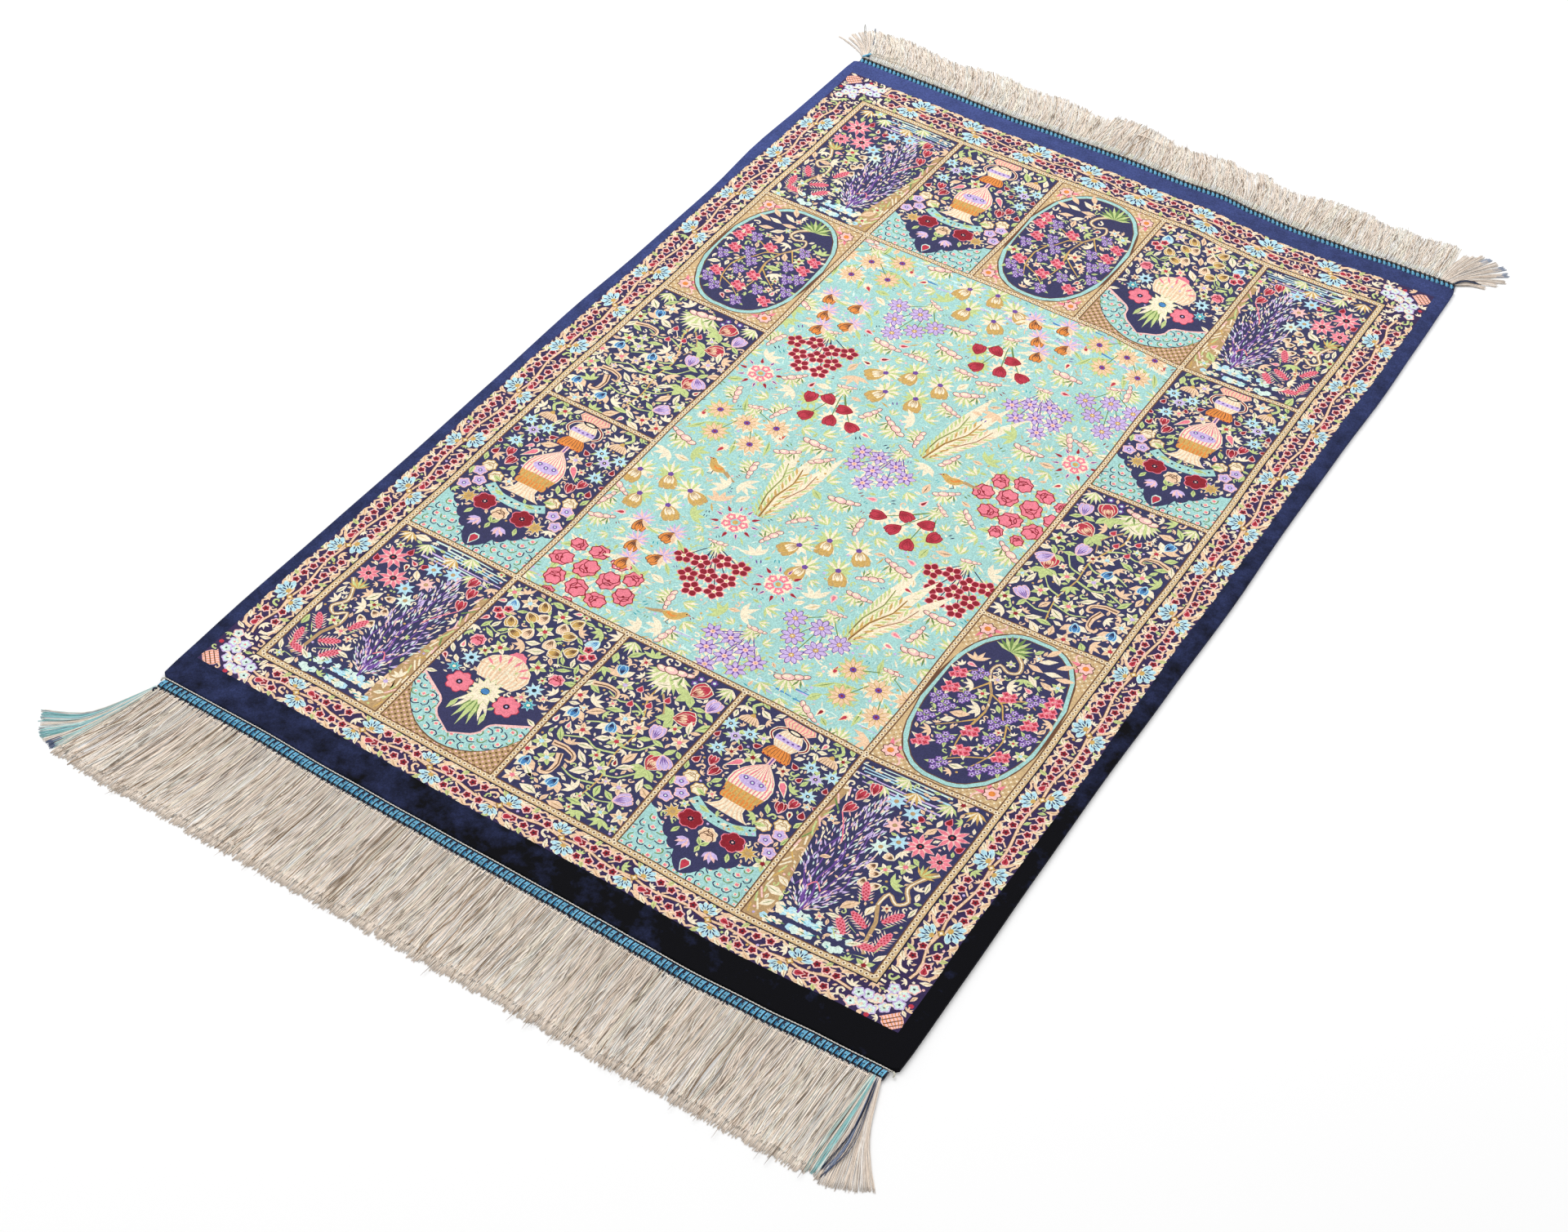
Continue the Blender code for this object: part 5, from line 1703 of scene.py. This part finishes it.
def strand(yarns, rng, root, tip, lift, colour, steps, wave, phase, pace, fresh, worn_and_shaded):
    """One warp strand from its root to its tip, lying over its neighbours and down to the floor."""
    run = Vector(tip) - Vector(root)
    side = Vector((-run.y, run.x)).normalized()
    last = 1 - CUT_END / run.length
    path = []
    for t in [last * i / (steps - 1) for i in range(steps)] + [1.0]:
        sway = wave * math.sin(phase + pace * t * math.pi) * min(1, 3 * t)
        z = STRAND_RADIUS + lift * (1 - t) ** 0.4 + (0.2 * math.sin(phase + 9 * t) + 0.2) * (1 - t)
        x = root[0] + run.x * drift(t, LOCK_BOW) + side.x * sway
        path.append((x, root[1] + run.y * t + side.y * sway, z))
    # the root stretch lightened by painted light where the binding shades it; the last stretch darker:
    # frayed, and partly painted shade
    tones = [shaded(colour, fresh)] + [colour] * (steps - 2) + [shaded(colour, worn_and_shaded)]
    yarns.tube(path, (STRAND_RADIUS, STRAND_RADIUS), tones, 3, rng.uniform(0, 2))


def painted_gap_shadow(yarns, rng, root, tip, height, longest):
    """A painted shadow: a narrow dark sliver laid over the strands, where a gap between two strands shows
    shade.
    """
    run = Vector(tip) - Vector(root)
    start = rng.uniform(0.0, 0.94) ** 1.1
    length = rng.uniform(0.15, 1.0) * longest
    went = drift(start, LOCK_BOW)
    along = Vector((run.x * (drift(start + 0.1, LOCK_BOW) - went) / 0.1, run.y)).normalized()
    along.rotate(Matrix.Rotation(rng.gauss(0, 0.07), 2))
    at = Vector((root[0] + run.x * went, root[1] + run.y * start))
    z = height - 0.5 * start
    wide = rng.uniform(0.1, 0.27)
    path = [(*(at + along * length * t), z) for t in (0.0, 0.3, 0.7, 1.0)]
    radii = [(0.04, 0.1), (wide, 0.2), (wide, 0.2), (0.04, 0.1)]
    yarns.tube(path, radii, shaded(SHADOW, rng.uniform(0.4, 0.9)), 3)


def make_fringe(name, end, sway, finish):
    """The warp ends of one side, lying in bunches on the floor."""
    rng = random.Random(name)
    kind = FRINGES[end]
    near = end == "near"
    outward = -1 if near else 1
    yarns = Yarns()
    first, last = sway[0].x, sway[-1].x
    count = round((last - first) / RIB_PITCH)

    def edge(x):
        return binding_start(x, end)[0] + outward * binding_width(x, end)

    root_line = []
    for i in range(count * 2 + 1):
        x = first + i * (last - first) / count / 2
        root_line.append((x, edge(x) + outward * (GAP + STRIP_DEPTH / 2), 0.95))
    yarns.tube(root_line, (STRIP_DEPTH / 2, 0.85), CREAM, 6)
    for i in range(count + 1):
        x = first + i * (last - first) / count
        back = edge(x) - outward * 0.3
        tip_x = straight(sway, "tip_x", x) + rng.uniform(-1.2, 1.2)
        tip_y = straight(sway, "tip_y", x) + outward * rng.uniform(-0.8, 0.8)
        shade = rng.uniform(0.96, 1.03)
        phase, pace = rng.uniform(0, math.tau), rng.uniform(1.6, 3.4)
        for k in range(STRANDS):
            share = (k + 0.5) / STRANDS - 0.5
            layer = k % 3
            root = (x + share * ROOT_SPREAD + rng.uniform(-0.15, 0.15), back)
            stray = 1.0 if rng.random() < KEPT_IN_LINE else rng.uniform(2, 7)
            end_y = tip_y + outward * min(rng.gauss(-0.3, kind.uneven), 2.2)
            if layer == 0 and near:
                end_y += outward * rng.uniform(0.5, 1.0) * UNDERLAY
            tip = (tip_x + share * TIP_SPREAD + rng.gauss(0, 1.0) * stray, end_y)
            tone = SHADOW if rng.random() < 0.03 else rng.choice((CREAM, CREAM, PALE))
            own = rng.random() < 0.35 or stray > 1
            worn_and_shaded = 0.85 if layer == 0 else rng.uniform(0.3, 0.6) if near else 0.8
            strand(yarns, rng, root, tip, 0.4 + 0.6 * layer + (0.7 if stray > 1 else 0.0),
                   shaded(tone, shade * rng.uniform(0.92, 1.06)), kind.steps,
                   rng.uniform(0.5, 1.0) * kind.wave * min(stray, 2.5),
                   rng.uniform(0, math.tau) if own else phase + rng.uniform(-0.4, 0.4),
                   rng.uniform(1.5, 4.5) if own else pace, kind.fresh, worn_and_shaded)
        for k in range(kind.short_ends):
            across = (k + rng.uniform(0.2, 0.8)) / kind.short_ends - 0.5
            low = Vector((tip_x + across * SHORT_SPREAD, tip_y - rng.uniform(0.3, 1.25) * UNDERLAY))
            yarns.tube([(low.x - across, low.y + SHORT_END, 0.5), (*low, 0.45)],
                       [(0.45, 0.3), (0.35, 0.3)], shaded(CREAM, rng.uniform(0.72, 0.9)), 4)
        # painted shadows of the gaps between strands
        for _ in range(kind.gaps):
            off = rng.uniform(-0.5, 0.5)
            painted_gap_shadow(yarns, rng, (x + off * RIB_PITCH, back), (tip_x + off * TIP_SPREAD, tip_y), 2.25,
                    kind.gap_length)
    for thread in LOOSE_THREADS[name]:
        yarns.tube([(x, y, THREAD_HEIGHT) for x, y in smooth(thread.path)],
                   (thread.radius, 0.8 * thread.radius), thread.yarn, 5)
    yarns.make(name + "_strands", finish, name)


# The corners' loose yarns: first what the locks are made of, and then, for each lock, its root along the
# binding, its middle and its tip, its widths there, how many strands it has, its coat and how high it lies.
Coat = namedtuple("Coat", "yarns tips")
COATS = {
    "cream": Coat((CREAM, CREAM, PALE, shaded(CREAM, 0.8)), None),
    "grey tips": Coat((CREAM, CREAM, PALE, shaded(CREAM, 0.8)), GREY_BLUE),
    "turquoise": Coat((TURQUOISE, TURQUOISE, DUSTY, TURQUOISE, GREY_BLUE, PALE), None),
    "dusty": Coat((DUSTY, DUSTY, PALE, CREAM), None),
    "slate": Coat((SLATE, GREY_BLUE, CREAM, GREY_BLUE), None),
    "slate tips": Coat((DUSTY, CREAM, DUSTY), SLATE),
    "navy": Coat((DEEP_BLUE, shaded(SLATE, 0.3), shaded(SLATE, 0.5)), None),
    "wisp": Coat((shaded(GREY, 0.5), shaded(GREY_BLUE, 0.5)), None),
}
Lock = namedtuple("Lock", "root_x mid_x mid_y tip_x tip_y mid_width tip_width strands coat lift")
CORNERS = {
    "tassel_near_left": [
        Lock(-299.0, -319.0, -541.5, -348.6, -559.0, 1.2, 2.0, 7, "dusty", 0.9),
        Lock(-298.8, -317.6, -544.0, -345.6, -563.0, 4.0, 10.0, 30, "turquoise", 0.6),
        Lock(-298.4, -315.6, -546.8, -341.0, -569.4, 1.0, 2.0, 5, "cream", 0.9),
        Lock(-298.0, -313.4, -547.5, -335.8, -575.2, 4.4, 10.6, 32, "turquoise", 0.6),
        Lock(-297.6, -311.6, -549.0, -329.4, -579.4, 1.0, 2.6, 6, "cream", 0.8),
        Lock(-297.4, -310.4, -550.0, -323.2, -580.4, 2.0, 8.4, 24, "slate tips", 0.5),
        Lock(-297.2, -309.2, -548.5, -317.0, -579.8, 1.0, 2.6, 7, "dusty", 0.8)],
    "tassel_near_right": [
        Lock(288.4, 287.4, -545, 288.4, -584.5, 2.8, 3.0, 12, "dusty", 1.2),
        Lock(289.4, 290.6, -545, 291.2, -584.0, 1.2, 1.2, 4, "cream", 1.3),
        Lock(290.0, 293.0, -546, 293.6, -583.0, 4.2, 4.6, 20, "turquoise", 1.2)],
    "threads_near_right": [
        Lock(291.5, 298.6, -541, 296.4, -581.0, 0.7, 0.9, 4, "navy", 1.8),
        Lock(292.0, 304.0, -552, 299.0, -583.0, 0.6, 0.8, 3, "navy", 1.8),
        Lock(291.8, 300.8, -552, 299.4, -580.0, 1.6, 5.0, 12, "slate", 1.0)],
    "fan_near_right": [
        Lock(290.4, 294.6, -545, 297.0, -585.5, 3.2, 4.4, 16, "cream", 0.4),
        Lock(290.8, 297.6, -545, 302.0, -587.0, 3.4, 5.4, 17, "cream", 0.4),
        Lock(291.2, 300.4, -545, 307.6, -586.0, 3.4, 6.0, 17, "cream", 0.5),
        Lock(291.8, 303.0, -545, 313.4, -583.5, 3.2, 6.4, 17, "cream", 0.5),
        Lock(292.4, 305.4, -545, 319.2, -580.5, 3.0, 6.6, 17, "cream", 0.5),
        Lock(293.0, 307.6, -545, 325.0, -577.5, 2.8, 6.6, 17, "cream", 0.5),
        Lock(293.6, 309.4, -545, 330.0, -574.5, 2.4, 5.0, 14, "cream", 0.5)],
    "fan_far_left": [
        Lock(-298.5, -313.5, 509.5, -338.3, 518.6, 1.3, 1.3, 6, "cream", 0.6),
        Lock(-298.2, -311.6, 513.0, -328.6, 523.0, 2.2, 3.8, 11, "cream", 0.6),
        Lock(-298.0, -310.4, 516.5, -328.6, 530.5, 2.6, 5.2, 13, "cream", 0.6),
        Lock(-297.6, -308.2, 519.0, -325.2, 538.0, 2.8, 5.6, 13, "cream", 0.6),
        Lock(-297.2, -306.0, 521.0, -320.0, 542.5, 2.8, 5.4, 13, "cream", 0.6),
        Lock(-297.5, -311.5, 523.0, -328.3, 551.5, 0.5, 0.5, 2, "wisp", 0.4),
        Lock(-296.5, -304.5, 527.0, -317.0, 551.5, 0.8, 1.4, 4, "wisp", 0.4)],
    "fan_far_right": [
        Lock(284.4, 286.8, 524, 291.4, 546.0, 2.8, 4.0, 12, "cream", 0.4),
        Lock(285.8, 290.4, 524, 297.2, 549.5, 3.0, 4.8, 13, "cream", 0.5),
        Lock(287.2, 293.8, 524, 303.4, 554.5, 3.0, 5.2, 13, "cream", 0.6),
        Lock(288.6, 297.2, 523.5, 310.4, 554.0, 3.2, 5.4, 13, "grey tips", 0.6),
        Lock(290.2, 300.6, 522.5, 317.4, 551.5, 3.2, 5.6, 13, "cream", 0.6),
        Lock(291.8, 304.0, 521.0, 325.4, 549.0, 3.2, 5.6, 13, "grey tips", 0.6),
        Lock(293.4, 307.2, 519.0, 331.2, 541.0, 3.2, 5.8, 13, "grey tips", 0.6),
        Lock(295.0, 309.6, 516.0, 332.4, 530.0, 3.2, 5.8, 13, "cream", 0.6),
        Lock(296.4, 311.0, 512.5, 328.4, 521.0, 3.0, 5.6, 12, "cream", 0.5),
        Lock(297.6, 310.6, 508.0, 321.4, 511.5, 2.8, 5.0, 11, "cream", 0.4)],
    "threads_far_right": [Lock(296.8, 303.4, 507.2, 314.0, 513.2, 2.4, 1.6, 13, "navy", 2.2)],
}
CORNER_STRAND = 0.27
CORNER_ROOT = 1.8                      # a lock's width under the binding
CORNER_STEPS = 5


def make_corner(name, locks, finish):
    """Loose yarns that come out together from under the end of a binding."""
    rng = random.Random(name)
    yarns = Yarns()
    end = "near" if locks[0].tip_y < 0 else "far"
    for lock in locks:
        start, outward = binding_start(lock.root_x, end)
        root = Vector((lock.root_x, start + outward * (binding_width(lock.root_x, end) - 0.6)))
        middle, tip = Vector((lock.mid_x, lock.mid_y)), Vector((lock.tip_x, lock.tip_y))
        lie = (tip - middle).normalized()
        across = Vector((-lie.y, lie.x)) * outward * -1
        coat = COATS[lock.coat]
        for k in range(lock.strands):
            share = (k + 0.5) / lock.strands - 0.5
            mid = middle + across * (share * lock.mid_width + rng.gauss(0, 0.25))
            last = tip + across * (share * lock.tip_width + rng.gauss(0, 0.3)) + lie * rng.gauss(0, 0.8)
            route = smooth([tuple(root + Vector((share * CORNER_ROOT, 0))), tuple(mid), tuple(last)],
                           CORNER_STEPS)
            phase = rng.uniform(0, math.tau)
            path = []
            for j, (x, y) in enumerate(route):
                t = j / (len(route) - 1)
                sway = 0.35 * math.sin(phase + 9 * t) * min(1, 3 * t)
                z = CORNER_STRAND + 0.35 * (k % 3) * (1 - 0.7 * t) + lock.lift * math.sin(math.pi * t) ** 0.6
                path.append((x + sway * across.x, y + sway * across.y, z + 0.9 * (1 - t) ** 2))
            # a random tone, darker towards the lock's two edges: painted shade between neighbouring locks
            level = rng.uniform(0.84, 1.02) * (1 - 0.3 * abs(2 * share) ** 5)
            tones = [shaded(rng.choice(coat.yarns), level)] * (len(path) - 1)
            if coat.tips:
                tones[-1] = shaded(coat.tips, level)
                if rng.random() < 0.5:
                    tones[-2] = tones[-1]
            yarns.tube(path, (CORNER_STRAND, CORNER_STRAND), tones, 3, rng.uniform(0, 2))
    yarns.make(name + "_strands", finish, name)


# ------------------------------------------------------------------------------- stage and camera

FLOOR_SIZE = 60.0
FLOOR_GREY, FLOOR_ROUGHNESS = 0.93, 0.9
WORLD_STRENGTH = 0.67
CAMERA_PLACE = (0.66412, -1.37491, 1.34119)
CAMERA_RIGHT = Vector((0.85195579, 0.5203156, 0.05867719))
CAMERA_FORWARD = Vector((-0.33386852, 0.62613223, -0.70462064))
LENS, SENSOR = 59.05, 36.0
NEAREST, FURTHEST = 0.05, 100.0


def make_camera():
    """The photograph's own viewpoint."""
    data = bpy.data.cameras.new("camera")
    data.lens, data.sensor_width = LENS, SENSOR
    data.sensor_fit = "HORIZONTAL"
    data.clip_start, data.clip_end = NEAREST, FURTHEST
    camera = bpy.data.objects.new("camera", data)
    up = CAMERA_RIGHT.cross(CAMERA_FORWARD)
    camera.matrix_world = Matrix.Translation(CAMERA_PLACE) @ Matrix(
        (CAMERA_RIGHT, up, -CAMERA_FORWARD)).transposed().to_4x4()
    bpy.context.scene.collection.objects.link(camera)
    bpy.context.scene.camera = camera


def make_stage():
    """The pale floor that the rug lies on."""
    half = FLOOR_SIZE / 2
    mesh = bpy.data.meshes.new("floor")
    mesh.from_pydata([(-half, -half, 0), (half, -half, 0), (half, half, 0), (-half, half, 0)], [],
                     [(0, 1, 2, 3)])
    pale = bpy.data.materials.new("floor")
    pale.use_nodes = True
    shader = pale.node_tree.nodes["Principled BSDF"]
    shader.inputs["Base Color"].default_value = (FLOOR_GREY, FLOOR_GREY, FLOOR_GREY, 1)
    shader.inputs["Roughness"].default_value = FLOOR_ROUGHNESS
    mesh.materials.append(pale)
    floor = bpy.data.objects.new("floor", mesh)
    bpy.context.scene.collection.objects.link(floor)


def make_light(name, place, target, size, power):
    """A square softbox that faces its target."""
    data = bpy.data.lights.new(name, "AREA")
    data.size, data.energy = size, power
    lamp = bpy.data.objects.new(name, data)
    lamp.location = place
    lamp.rotation_euler = (Vector(target) - Vector(place)).to_track_quat("-Z", "Y").to_euler()
    bpy.context.scene.collection.objects.link(lamp)


def make_lights():
    """Even white light from all round, with a softbox on the left and a weaker one at the back."""
    world = bpy.data.worlds.new("studio")
    world.use_nodes = True
    world.node_tree.nodes["Background"].inputs["Color"].default_value = (1, 1, 1, 1)
    world.node_tree.nodes["Background"].inputs["Strength"].default_value = WORLD_STRENGTH
    bpy.context.scene.world = world
    make_light("softbox_left", place=(-1.8, 0.9, 2.6), target=(0, 0, 0), size=2.4, power=66)
    make_light("softbox_back", place=(0.6, 2.6, 2.2), target=(0, 0.1, 0), size=2.0, power=24)
    bpy.context.scene.view_settings.view_transform = "Standard"


make_camera()
make_stage()
make_lights()

silk = pile_finish()
body = make_body(plain_pile_finish())
make_pattern(silk)

warp = yarn_finish("cream_warp", roughness=0.85, spread=0.26, sheen=0.35)
blue = yarn_finish("blue_binding", roughness=0.5, spread=0.3, sheen=0.3)
loose = yarn_finish("loose_yarn", roughness=0.8, spread=0.25, sheen=0.15)
make_edge_cord(warp)
make_binding("binding_near", "near", start_x=-298.2, ribs=135, finish=blue)
make_binding("binding_far", "far", start_x=-299.5, ribs=136, finish=blue)
make_fringe("fringe_near", "near", NEAR_SWAY, warp)
make_fringe("fringe_far", "far", FAR_SWAY, warp)
for corner_name, corner_locks in CORNERS.items():
    make_corner(corner_name, corner_locks, warp if corner_name.startswith("fan") else loose)
